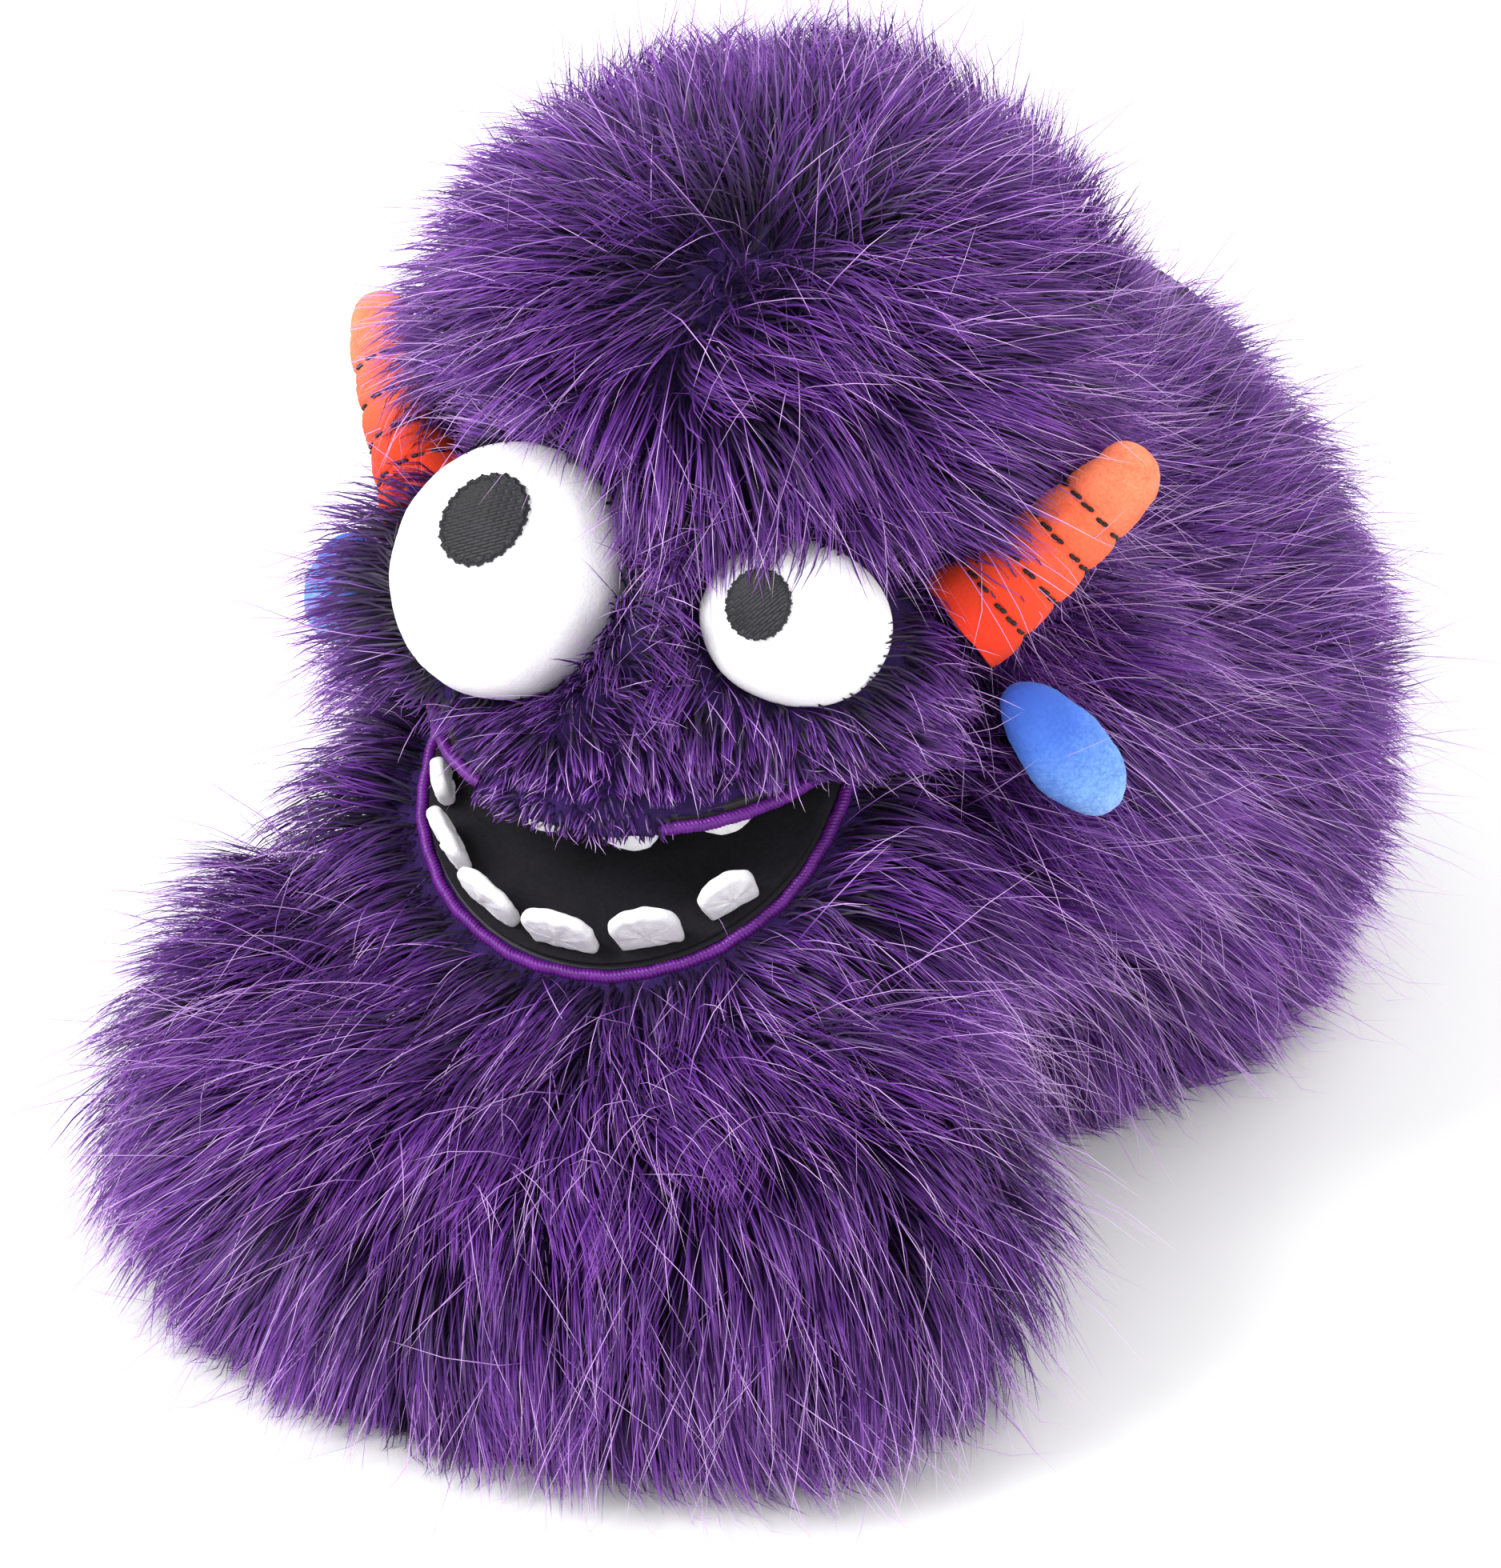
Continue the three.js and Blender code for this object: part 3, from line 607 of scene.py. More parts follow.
def makePupil(name, eye):
    halfX, halfZ = eye["pupil"]
    wide, high = halfX + thread["margin"], halfZ + thread["margin"]
    x, z = np.meshgrid(np.arange(-wide, wide, thread["step"]), np.arange(-high, high, thread["step"]))
    slant = math.radians(thread["slant"])
    along, over = x * math.cos(slant) + z * math.sin(slant), -x * math.sin(slant) + z * math.cos(slant)
    row = np.floor(over / thread["pitch"])
    ridge = np.abs(np.sin(np.pi * over / thread["pitch"])) ** 0.7
    place = (along + row * thread["shift"]) % thread["stitch"] / thread["stitch"]
    dip = np.exp(-((np.minimum(place, 1 - place)) / 0.07) ** 2)
    around = np.arctan2(z / halfZ, x / halfX)
    ragged = 0.035 * np.sin(around * 23 + 1) + 0.02 * np.sin(around * 57)
    edge = np.sqrt((x / halfX) ** 2 + (z / halfZ) ** 2) + ragged * 0.7
    border = np.abs(np.sin(around * (halfX + halfZ) / thread["pitch"] * 1.6)) ** 0.7
    onBorder = ease(edge, *thread["border"])
    raised = thread["raise"] * (ridge * (1 - 0.7 * dip) * (1 - onBorder) + border * onBorder * 1.2)
    lift = (0.95 + raised + 0.25 * onBorder) * ease(1 - edge, -0.02, 0.07) - 0.25
    lean = math.radians(eye["lean"])
    wx = x * math.cos(lean) + z * math.sin(lean) + eye["across"]
    wz = z * math.cos(lean) - x * math.sin(lean) + eye["up"]
    share = np.sqrt(1 + lift / 15)
    y = -domeDepth(eye, wx, wz) - lift
    matrix = eyeMatrix(eye)
    points = [turned(p, matrix) for p in zip((wx * share).ravel(), y.ravel(), (wz * share).ravel())]
    rows, columns = x.shape
    inside = (edge < 1.02).ravel()
    faces = [f for f in gridFaces(rows, columns) if all(inside[i] for i in f)]
    used = sorted({i for f in faces for i in f})
    number = {v: i for i, v in enumerate(used)}
    faces = [[number[i] for i in f] for f in faces]
    piece = meshObject(name + "_pupil_stitching", [points[i] for i in used], faces)
    thickened(piece, thread["backing"], -1)
    dress(piece, blackThread)
    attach(piece, "head")
    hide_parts(name + "_pupil")


for name, eye in eyes.items():
    makeEye(name, eye)
    makePupil(name, eye)
print("eyes made")

# horns and ears

horn = {"root": (57.6, 12.9, 139.3), "rise": (22.7, 20.5, 21.6), "length": 50, "rootRadius": 11.2,
        "tipRadius": 7.5, "bend": -7, "rings": 4, "swell": 0.55, "notch": 0.45, "notchWidth": 0.7,
        "dash": 2.9, "dashGap": 1.5, "dashRadius": 0.42, "dashOut": 0.25, "around": 56, "rows": 150,
        "tipRows": 13, "bodyShare": 0.9}
hornFade = [(0, tone(226, 48, 26)), (0.3, tone(242, 74, 44)), (0.6, tone(250, 112, 76)),
            (1, tone(255, 150, 112))]
hornPlush = plushMaterial("hornPlush", tone(248, 108, 74), tone(226, 66, 36), 1.0, 0.45, 0.92, 0.35, 0.22,
                          hornFade)
shoulder = horn["length"] - horn["tipRadius"]


def hornRadius(t):
    wave = abs(math.sin(math.pi * t * (horn["rings"] + 1)))
    taper = horn["rootRadius"] + (horn["tipRadius"] - horn["rootRadius"]) * t
    bands = horn["rings"] + 1
    near = abs(t * bands - round(t * bands)) * shoulder / bands
    notch = horn["notch"] * math.exp(-(near / horn["notchWidth"]) ** 2) if 0.02 < t < 0.98 else 0
    return taper - horn["swell"] * (1 - wave ** 0.8) - notch


def bent(x, y, z):
    turn = math.radians(horn["bend"])
    reach = horn["length"] / turn
    angle = z / horn["length"] * turn
    r = reach - x
    return reach - r * math.cos(angle), y, r * math.sin(angle)


def hornMatrix(side):
    rise = Vector(horn["rise"]).normalized()
    lean = Vector((0, 0, 1)).rotation_difference(rise).to_matrix().to_4x4()
    mirror = Matrix.Diagonal((side, 1, 1, 1))
    return mirror @ Matrix.Translation(at(*horn["root"])) @ lean


def addAlong(piece, values):
    store = piece.data.attributes.new("along", "FLOAT", "POINT")
    store.data.foreach_set("value", np.asarray(values, np.float32))


def makeHorn(name, side):
    around, rows, tipRows, body = horn["around"], horn["rows"], horn["tipRows"], horn["bodyShare"]
    points, share = [], []
    for i in range(rows):
        t = i / (rows - 1)
        r = hornRadius(t)
        points += [bent(r * math.cos(a), r * math.sin(a), t * shoulder) for a in angles(around)]
        share += [t * body] * around
    for i in range(1, tipRows + 1):
        a = math.radians(90 * i / (tipRows + 1))
        r = hornRadius(1) * math.cos(a) ** 0.9
        z = shoulder + horn["tipRadius"] * math.sin(a)
        points += [bent(r * math.cos(b), r * math.sin(b), z) for b in angles(around)]
        share += [body + (1 - body) * math.sin(a)] * around
    total = rows + tipRows
    faces = gridFaces(total, around, True)
    points += [bent(0, 0, horn["length"]), (0, 0, 0)]
    share += [1, 0]
    top = (total - 1) * around
    faces += [(len(points) - 2, top + k, top + (k + 1) % around) for k in range(around)]
    faces += [(len(points) - 1, (k + 1) % around, k) for k in range(around)]
    matrix = hornMatrix(side)
    piece = meshObject(name + "_horn_plush", [turned(p, matrix) for p in points], faces)
    addAlong(piece, share)
    outward(piece)
    roughened(piece, 0.5, 6)
    roughened(piece, 0.16, 0.8)
    dress(piece, hornPlush)
    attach(piece, "head")
    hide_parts(name + "_horn")


def capsule(start, end, radius, around=7):      # one stitch: a short thread with round ends
    axis = (end - start).normalized()
    side = axis.orthogonal().normalized()
    other = axis.cross(side)
    points = []
    for share, wide in ((0, 0.35), (0.12, 0.85), (0.5, 1.1), (0.88, 0.85), (1, 0.35)):
        points += [start.lerp(end, share) + (side * math.cos(a) + other * math.sin(a)) * radius * wide
                   for a in angles(around)]
    faces = gridFaces(5, around, True)
    faces += [tuple(reversed(range(around))), tuple(range(4 * around, 5 * around))]
    return points, faces


def makeHornStitches(name, side):
    matrix = hornMatrix(side)
    points, faces = [], []
    for i in range(1, horn["rings"] + 1):
        t = i / (horn["rings"] + 1)
        r = hornRadius(t) + horn["dashOut"]
        count = round(2 * math.pi * r / (horn["dash"] + horn["dashGap"]))
        for k in range(count):
            a = 2 * math.pi * (k + 0.13 * math.sin(k * 2.3 + i)) / count
            b = a + horn["dash"] / r
            ends = [turned(bent(r * math.cos(c), r * math.sin(c), t * shoulder + d), matrix)
                    for c, d in ((a, -0.25), (b, 0.3))]
            half, out = (a + b) / 2, r + horn["dashOut"]
            middle = turned(bent(out * math.cos(half), out * math.sin(half), t * shoulder), matrix)
            for p, q in ((ends[0], middle), (middle, ends[1])):
                made, around = capsule(p, q, horn["dashRadius"] * mm)
                faces += [[n + len(points) for n in f] for f in around]
                points += made
    piece = outward(meshObject(name + "_horn_running_stitch", points, faces))
    dress(piece, blackThread)
    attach(piece, "head")
    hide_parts(name + "_horn_stitches")


ear = {"place": (80, 13, 117), "half": (9.2, 6.7, 17.8), "turn": 35, "lean": -36, "around": 64, "rows": 40,
       "narrowing": 0.22, "seam": 0.05}
# the ear's blue, lighter toward its lower end: partly its own colour, partly painted highlight
earBlueAndHighlight = [(0, tone(50, 76, 168)), (0.35, tone(80, 128, 224)), (0.7, tone(126, 176, 240)),
           (1, tone(160, 204, 246))]
earPlush = plushMaterial("earPlush", tone(100, 146, 230), tone(56, 92, 192), 0.8, 0.6, 0.92, 0.3, 0.3,
                         earBlueAndHighlight)


def earMatrix(side):
    return Matrix.Diagonal((side, 1, 1, 1)) @ frameAt(ear["place"], 0, ear["lean"], ear["turn"])


def makeEar(name, side):
    around, rows = ear["around"], ear["rows"]
    hx, hy, hz = ear["half"]
    points, share = [], []
    for i in range(rows + 1):
        a = math.pi * (0.001 + 0.998 * i / rows)
        low = (1 + math.cos(a)) / 2
        for b in angles(around):
            wide = math.sin(a) ** 0.85 * (1.04 - ear["narrowing"] * (1 - low))
            seam = 1 - ear["seam"] * math.exp(-((b % math.pi) / 0.09) ** 2)
            points.append((hx * wide * math.cos(b) * seam, hy * wide * math.sin(b), -hz * math.cos(a)))
            share.append(low)
    matrix = earMatrix(side)
    piece = meshObject(name + "_ear_plush", [turned(p, matrix) for p in points], tubeFaces(rows + 1, around))
    addAlong(piece, share)
    outward(piece)
    roughened(piece, 0.5, 7)
    roughened(piece, 0.2, 0.9)
    dress(piece, earPlush)
    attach(piece, "head")
    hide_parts(name + "_ear")


for name, side in (("left", 1), ("right", -1)):
    makeHorn(name, side)
    makeHornStitches(name, side)
    makeEar(name, side)
print("horns and ears made")

# mouth: linings, stitched lip cord and teeth

mouthWidth = 42      # half of it
lips = {
    "upper": {"frame": upperFrame, "start": 14, "reach": 36, "up": 1, "body": "head"},
    "lower": {"frame": lowerFrame, "start": 26, "reach": 42, "up": -1, "body": "jaw"},
}
lining = {"rows": 60, "columns": 60, "face": 0.6, "thickness": 1.0, "inset": 0.4, "back": 2.8, "raise": 0.25,
          "crease": 0.25, "lumps": 0.22}
lipCord = {"out": 1.6, "radius": 1.15, "ridge": 0.3, "pitch": 0.8, "slant": 1.5, "depth": 2.35, "sink": 0.3,
           "step": 0.1, "around": 18}
satin = plushMaterial("satinThread", tone(108, 32, 140), tone(52, 12, 78), 1.5, 0.55, 0.34, 0.3, 0.1)


def makeLining(name, lip):
    points = []
    inset, back = lining["inset"], lining["back"]
    front = lip["start"] + lip["reach"] - inset
    for i in range(lining["rows"]):
        y = back - (front + back) * math.sin(math.pi / 2 * i / (lining["rows"] - 1)) * 0.9995
        past = max(0, -y - lip["start"]) / (lip["reach"] - inset)
        wide = (mouthWidth - inset) * math.sqrt(max(0.0004, 1 - past ** 2))
        for k in range(lining["columns"]):
            s = 2 * k / (lining["columns"] - 1) - 1
            x = wide * s
            crease = math.sin(y * 0.55 + 0.8 * math.sin(x * 0.12)) * math.exp(-((y + 3) / 9) ** 2)
            lumps = noise.noise(Vector((x * 0.16, y * 0.16, 3 * lip["up"]))) * lining["lumps"]
            z = lining["face"] + lining["raise"] - lining["crease"] * crease - lumps
            points.append((x, y, lip["up"] * z))
    piece = meshObject(name + "_mouth_felt", [turned(p, lip["frame"]) for p in points],
                       gridFaces(lining["rows"], lining["columns"]))
    thickened(piece, lining["thickness"], lip["up"])
    dress(piece, felt)
    wide = 2 * mouthWidth * mm
    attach(piece, lip["body"])
    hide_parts(name + "_mouth_lining")


def lipPath(lip, out):      # points along a lip's edge, corner to corner, evenly spaced
    line = [(-mouthWidth - out, y) for y in np.arange(0.2, -lip["start"], -1)]
    for i in range(401):
        a = math.pi * (1 + i / 400)
        line.append(((mouthWidth + out) * math.cos(a), -lip["start"] + (lip["reach"] + out) * math.sin(a)))
    line += [(mouthWidth + out, y) for y in np.arange(-lip["start"] + 1, 0.6, 1)]
    line = np.array(line)
    gone = np.concatenate([[0], np.cumsum(np.linalg.norm(np.diff(line, axis=0), axis=1))])
    steps = np.arange(0, gone[-1], lipCord["step"])
    return steps, np.stack([np.interp(steps, gone, line[:, 0]), np.interp(steps, gone, line[:, 1])], 1)


def makeLipCord(name, lip):
    around = lipCord["around"]
    steps, line = lipPath(lip, lipCord["out"])
    heading = unit(np.gradient(line, axis=0))
    points = []
    for s, (x, y), (hx, hy) in zip(steps, line, heading):
        sway = 0.12 * math.sin(s * 0.31) + 0.1 * math.sin(s * 0.83 + 1)
        for a in angles(around):
            twist = s / lipCord["pitch"] + lipCord["slant"] * math.sin(a / 2) ** 2
            ridge = abs(math.sin(math.pi * twist)) ** 0.8
            r = lipCord["radius"] + lipCord["ridge"] * (ridge - 0.5) + 0.05 * math.sin(s * 2.1 + a)
            off = r * math.cos(a)
            points.append((x + hy * (off + sway), y - hx * (off + sway),
                           lip["up"] * lipCord["depth"] + r * math.sin(a) - lipCord["sink"] * lip["up"]))
    faces = tubeFaces(len(steps), around)
    piece = outward(meshObject(name + "_lip_stitching", [turned(p, lip["frame"]) for p in points], faces))
    dress(piece, satin)
    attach(piece, lip["body"])
    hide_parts(name + "_lip_piping")


teeth = {      # place across, width and height
    "upper": [(-27, 11, 6.5), (-9, 13, 8.5), (10, 12, 8.5), (27, 11, 6.5)],
    "lower": [(-36, 9, 8), (-29, 13, 12), (-16, 14, 13), (1, 15, 13), (18, 14, 13), (31, 12, 11)],
    "thickness": 4, "inset": 4, "seat": 0.3, "rings": 12, "waver": 0.22, "turn": 0.85, "seam": 0.16,
    "dent": 0.35,
}
toothFelt = plushMaterial("toothFelt", tone(246, 245, 246), tone(206, 204, 214), 1.1, 0.4, 0.95, 0.25, 0.25)


def toothOutline(width, height, seed):
    half = width / 2
    straight = height - half * 0.8
    line = [(-half * 0.92 + half * 1.84 * i / 12, 0) for i in range(12)]
    line += [(half * (0.92 + 0.08 * i / 4), straight * i / 4) for i in range(4)]
    line += [(half * math.cos(a), straight + (height - straight) * math.sin(a))
             for a in (math.pi * i / 40 for i in range(41))]
    line += [(-half * (1 - 0.08 * i / 4), straight * (1 - i / 4)) for i in range(1, 4)]
    waver = teeth["waver"]
    return [(x + waver * noise.noise(Vector((x * 0.5, y * 0.5, seed))),
             y + waver * noise.noise(Vector((x * 0.5, y * 0.5, seed + 9)))) for x, y in line]


def makeTooth(name, lip, spec, number):
    x, width, height = spec
    line = toothOutline(width, height, number * 3.7)
    middle = Vector((0, height * 0.42))
    count, rings = len(line), teeth["rings"]
    points, faces = [], []
    for face in (1, -1):
        for i in range(rings):
            share = 1 - (i / rings) ** 1.6
            puff = (1 - share ** 5) ** 0.5 * (1 - teeth["seam"] * math.exp(-((share - 0.72) / 0.05) ** 2))
            for px, py in line:
                dent = teeth["dent"] * noise.noise(Vector((px * 0.3, py * 0.3, number + face)))
                z = face * (0.35 + (teeth["thickness"] / 2 - 0.5) * puff * (1 + dent))
                points.append((middle.x + (px - middle.x) * share, middle.y + (py - middle.y) * share, z))
        first = 0 if face == 1 else rings * count
        faces += gridFaces(rings, count, True, first)
        faces.append(tuple(range(first + (rings - 1) * count, first + rings * count)))
    faces += [(k, (k + 1) % count, rings * count + (k + 1) % count, rings * count + k) for k in range(count)]
    across, reach = mouthWidth - teeth["inset"], lip["reach"] - teeth["inset"]
    y = -(lip["start"] + reach * math.sqrt(max(0, 1 - (x / across) ** 2)))
    facing = math.atan2(x / across ** 2, -(y + lip["start"]) / reach ** 2)
    stand = (lip["frame"] @ Matrix.Translation(Vector((x, y, lip["up"] * teeth["seat"])) * mm)
             @ Matrix.Rotation(facing * teeth["turn"], 4, "Z")
             @ Matrix.Rotation(-lip["up"] * math.pi / 2, 4, "X"))
    piece = outward(meshObject(f"{name}_tooth_pad_{number}", [turned(p, stand) for p in points], faces))
    dress(piece, toothFelt)
    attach(piece, lip["body"])
    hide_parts(f"{name}_tooth_{number}")


foldTape = {"around": 16, "rows": 90, "radius": 1.7, "halfLength": 40, "height": 122}


def makeFoldTape():
    around, rows = foldTape["around"], foldTape["rows"]
    points = []
    for i in range(rows):
        x = foldTape["halfLength"] * (2 * i / (rows - 1) - 1)
        for a in angles(around):
            r = foldTape["radius"] + 0.12 * math.sin(x * 1.9) + 0.08 * math.sin(a * 3 + x)
            points.append(at(x, foldAhead + r * math.cos(a), foldTape["height"] + r * math.sin(a)))
    piece = outward(meshObject("fold_tape_felt", points, tubeFaces(rows, around)))
    dress(piece, felt)
    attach(piece, "sleeve")
    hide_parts("mouth_fold_tape")


for name, lip in lips.items():
    makeLining(name, lip)
    makeLipCord(name, lip)
    for number, spec in enumerate(teeth[name], 1):
        makeTooth(name, lip, spec, number)
makeFoldTape()
print("mouth made")

# arm opening, lining bag, floor panels and label

cuff = {"outer": 49.7, "inner": 47.1, "from": 191.5, "to": 225.5, "ribs": 132, "ribHeight": 0.32,
        "around": 720, "rows": 26, "hemRows": 7, "seam": 0.25, "seamIn": 5}
bag = {"profile": [(46.6, 222), (46.2, 205), (45.8, 180), (45.4, 150), (44, 130), (39, 111), (26, 99),
                   (8, 96)],
       "wrinkle": 1.1, "around": 120, "rows": 70, "thickness": 0.8}
panels = {
    "base": {"node": "base_panel", "body": "sleeve", "centreY": 142, "half": (66, 60)},
    "chin": {"node": "chin_panel", "body": "jaw", "centreY": -50, "half": (74, 54)},
}
panelEdge = {"around": 150, "rings": 30, "stitches": 60, "stitchDepth": 0.4, "stitchIn": 4, "lumps": 0.3,
             "middle": 1.75, "thickness": 1.3, "lowest": 0.2}
label = {"width": 24, "height": 34, "floor": 26.6, "lift": 0.35, "end": 224, "rows": 24, "columns": 16,
         "thickness": 0.4}
blackCloth = clothMaterial("blackCloth", tone(40, 38, 44), tone(14, 13, 17), 5200)
liningCloth = clothMaterial("liningCloth", tone(36, 34, 40), tone(15, 14, 18), 7000, 0.6, 0.3, 0.06)
labelSatin = clothMaterial("labelSatin", tone(240, 238, 236), tone(205, 203, 202), 9000, 0.35, 0.2, 0.04)
cuffKnit = plushMaterial("cuffKnit", tone(38, 36, 42), tone(15, 14, 18), 1.4, 0.5, 0.85, 0.3, 0.1)


def ring(radius, y, around, wave):
    points = []
    for a in angles(around):
        r = radius + wave(a, y)
        points.append(at(r * math.cos(a), y, armHole["height"] + r * math.sin(a)))
    return points


def makeCuff():
    around, steps, hem = cuff["around"], cuff["rows"], cuff["hemRows"]
    rows = []
    middle = (cuff["outer"] + cuff["inner"]) / 2
    half = (cuff["outer"] - cuff["inner"]) / 2
    for i in range(steps):
        y = cuff["from"] + half + (cuff["to"] - cuff["from"] - 2 * half) * i / (steps - 1)
        rows.append((cuff["outer"], y, 1))
    for i in range(1, hem + 1):
        a = math.pi / 2 - math.pi * i / (hem + 1)
        rows.append((middle + half * math.sin(a), cuff["to"] - half + half * math.cos(a), 0.5))
    for i in range(steps):
        y = cuff["to"] - half - (cuff["to"] - cuff["from"] - 2 * half) * i / (steps - 1)
        rows.append((cuff["inner"], y, -1))
    for i in range(1, hem + 1):
        a = -math.pi / 2 + math.pi * i / (hem + 1)
        rows.append((middle + half * math.sin(a), cuff["from"] + half - half * math.cos(a), 0.5))
    points = []
    for radius, y, side in rows:
        points += ring(radius, y, around, lambda a, b: side * cuff["ribHeight"] * math.sin(a * cuff["ribs"])
                       - cuff["seam"] * side * math.exp(-((b - cuff["to"] + cuff["seamIn"]) / 0.6) ** 2))
    faces = gridFaces(len(rows), around, True)
    last = (len(rows) - 1) * around
    faces += [(last + k, last + (k + 1) % around, (k + 1) % around, k) for k in range(around)]
    piece = outward(meshObject("cuff_knit", points, faces))
    dress(piece, cuffKnit)
    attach(piece, "sleeve")
    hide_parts("cuff_binding")


def makeBag():
    around, rows = bag["around"], bag["rows"]
    line = np.array(bag["profile"], float)
    share = np.linspace(0, len(line) - 1, rows)
    index = np.arange(len(line))
    points = []
    for r, y in zip(np.interp(share, index, line[:, 0]), np.interp(share, index, line[:, 1])):
        points += ring(r - bag["wrinkle"], y, around, lambda a, b: bag["wrinkle"] * 0.9 * noise.noise(
            Vector((math.cos(a) * 2.2, math.sin(a) * 2.2, b * 0.035))) * min(1, r / 30))
    faces = gridFaces(rows, around, True) + [tuple(range((rows - 1) * around, rows * around))]
    piece = meshObject("sleeve_lining_bag", points, faces)
    thickened(piece, bag["thickness"], 0)
    dress(piece, liningCloth)
    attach(piece, "sleeve")
    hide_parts("sleeve_lining")


def makePanel(name, spec):      # a flat oval of cloth with a rolled, stitched edge
    around, rings = panelEdge["around"], panelEdge["rings"]
    points, faces = [], []
    for face in (1, -1):
        for i in range(rings):
            share = 1 - (i / rings) ** 1.4
            roll = (1 - share ** 14) ** 0.5
            fromSeam = (1 - share) * spec["half"][1] - panelEdge["stitchIn"]
            for a in angles(around):
                x, y = spec["half"][0] * share * math.cos(a), spec["half"][1] * share * math.sin(a)
                stitch = panelEdge["stitchDepth"] * math.exp(-fromSeam ** 2 / 0.8)
                stitch *= abs(math.sin(a * panelEdge["stitches"]))
                lumps = panelEdge["lumps"] * noise.noise(Vector((x * 0.06, y * 0.06, face)))
                thick = panelEdge["thickness"] * roll - stitch + lumps * roll
                points.append(at(x, spec["centreY"] + y, panelEdge["middle"] + face * max(thick, 0.05)))
        first = 0 if face == 1 else rings * around
        faces += gridFaces(rings, around, True, first)
        faces.append(tuple(range(first + (rings - 1) * around, first + rings * around)))
    other = rings * around
    faces += [(k, (k + 1) % around, other + (k + 1) % around, other + k) for k in range(around)]
    piece = outward(meshObject(name + "_cloth_panel", points, faces))
    points = pointsOf(piece.data)
    points[:, 2] = np.maximum(points[:, 2], panelEdge["lowest"] * mm)
    setPoints(piece.data, points)
    dress(piece, blackCloth)
    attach(piece, spec["body"])
    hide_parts(spec["node"])


def makeLabel():
    rows, columns = label["rows"], label["columns"]
    points = []
    for i in range(rows):
        y = label["end"] - label["height"] * i / (rows - 1)
        for k in range(columns):
            x = -label["width"] / 2 + label["width"] * k / (columns - 1)
            curl = label["lift"] * (1 + math.sin(i * 0.5)) + 0.02 * x * x * 0.5
            points.append(at(x, y, label["floor"] + curl))
    piece = meshObject("blank_label", points, gridFaces(rows, columns))
    thickened(piece, label["thickness"], -1)
    dress(piece, labelSatin)
    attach(piece, "sleeve")
    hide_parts("care_label")


makeCuff()
makeBag()
for name, spec in panels.items():
    makePanel(name, spec)
makeLabel()
board = plushMaterial("mouthBoard", tone(60, 58, 62), tone(40, 38, 42), 0.6, 0.3, 0.6, 0.0, 0.05)
for name, material in (("upper_mouth_board", board), ("lower_mouth_board", board),
                       ("finger_pocket", liningCloth), ("thumb_pocket", liningCloth)):
    mesh = frame["nodes"][name].data
    mesh.materials.clear()
    mesh.materials.append(material)
print("sleeve opening, panels and label made")

# pile: every strand of the long fur is a narrow tapered ribbon

pile = {
    "seed": 11, "strands": 152000, "guards": 0.115, "clump": 46, "steps": 4,
    "width": 0.46, "guardWidth": 0.22, "lift": 0.55, "droop": 0.26,
    "crownWhorl": (10, 14, 208), "bridgeWhorl": (2, -34, 150), "lipMiddle": (0, -22, 100),
    "neckMiddle": (0, 20, 112),
    "floor": 0.5, "backEnd": 232, "swirl": 0.75, "crownSwirl": 1.5, "reach": (15.5, 18.5, 15.5),
    "rootMargin": {"upper": 0.5, "lower": 2.6}, "hornMargin": 0.8, "earMargin": 0.7, "eyeMargin": 0.5,
}
# mm long, and how upright from 0 to 1, by region
lengths = {"body": 33, "backAdds": 4, "face": 23, "jaw": 38, "lowerRim": 17, "cheekAdds": 13,
           "shoulderLoses": 10, "eyeRim": 12, "veil": 29}
lifts = {"face": 0.36, "upperRim": 0.5, "lowerRim": 0.3, "cheekAdds": 0.28, "veil": 0.62, "table": 0.34}
random = np.random.default_rng(pile["seed"])
origin = np.array(datum)


def sampled(piece, count):
    mesh = piece.data
    mesh.calc_loop_triangles()
    corners = np.zeros(len(mesh.loop_triangles) * 3, int)
    mesh.loop_triangles.foreach_get("vertices", corners)
    corners = corners.reshape(-1, 3)
    points, normals = pointsOf(mesh), normalsOf(mesh)
    a, b, c = (points[corners[:, k]] for k in range(3))
    area = np.linalg.norm(np.cross(b - a, c - a), axis=1)
    pick = random.choice(len(corners), count, p=area / area.sum())
    u, v = np.sqrt(random.random(count)), random.random(count)
    weights = np.stack([1 - u, u * (1 - v), u * v], 1)[:, :, None]
    roots = (points[corners[pick]] * weights).sum(1)
    return roots, unit((normals[corners[pick]] * weights).sum(1))


def lipDistance(q, lip):      # mm outside a lip's outline, and height from its plane
    inLip = local(lip["frame"], q * mm + origin)
    past = np.maximum(0, -inLip[:, 1] - lip["start"])
    share = np.sqrt((inLip[:, 0] / mouthWidth) ** 2 + (past / lip["reach"]) ** 2)
    return (share - 1) * lip["reach"], inLip


def eyeDistance(q, eye):      # 1 at the eye's rim
    inEye = local(eyeMatrix(eye), q * mm + origin)
    return np.sqrt((inEye[:, 0] / eye["half"][0]) ** 2 + (inEye[:, 2] / eye["half"][2]) ** 2), inEye


def hornAxis(side, count=13):
    matrix = hornMatrix(side)
    line = [turned(bent(0, 0, horn["length"] * i / (count - 1)), matrix) for i in range(count)]
    radii = [hornRadius(min(1, i / (count - 1))) for i in range(count)]
    return (np.array(line) - origin) / mm, np.array(radii)


def nearHorn(q, side):
    line, radii = hornAxis(side)
    gaps = np.linalg.norm(q[:, None, :] - line[None], axis=2) - radii[None]
    best = gaps.argmin(1)
    return gaps.min(1), line[best], radii[best]


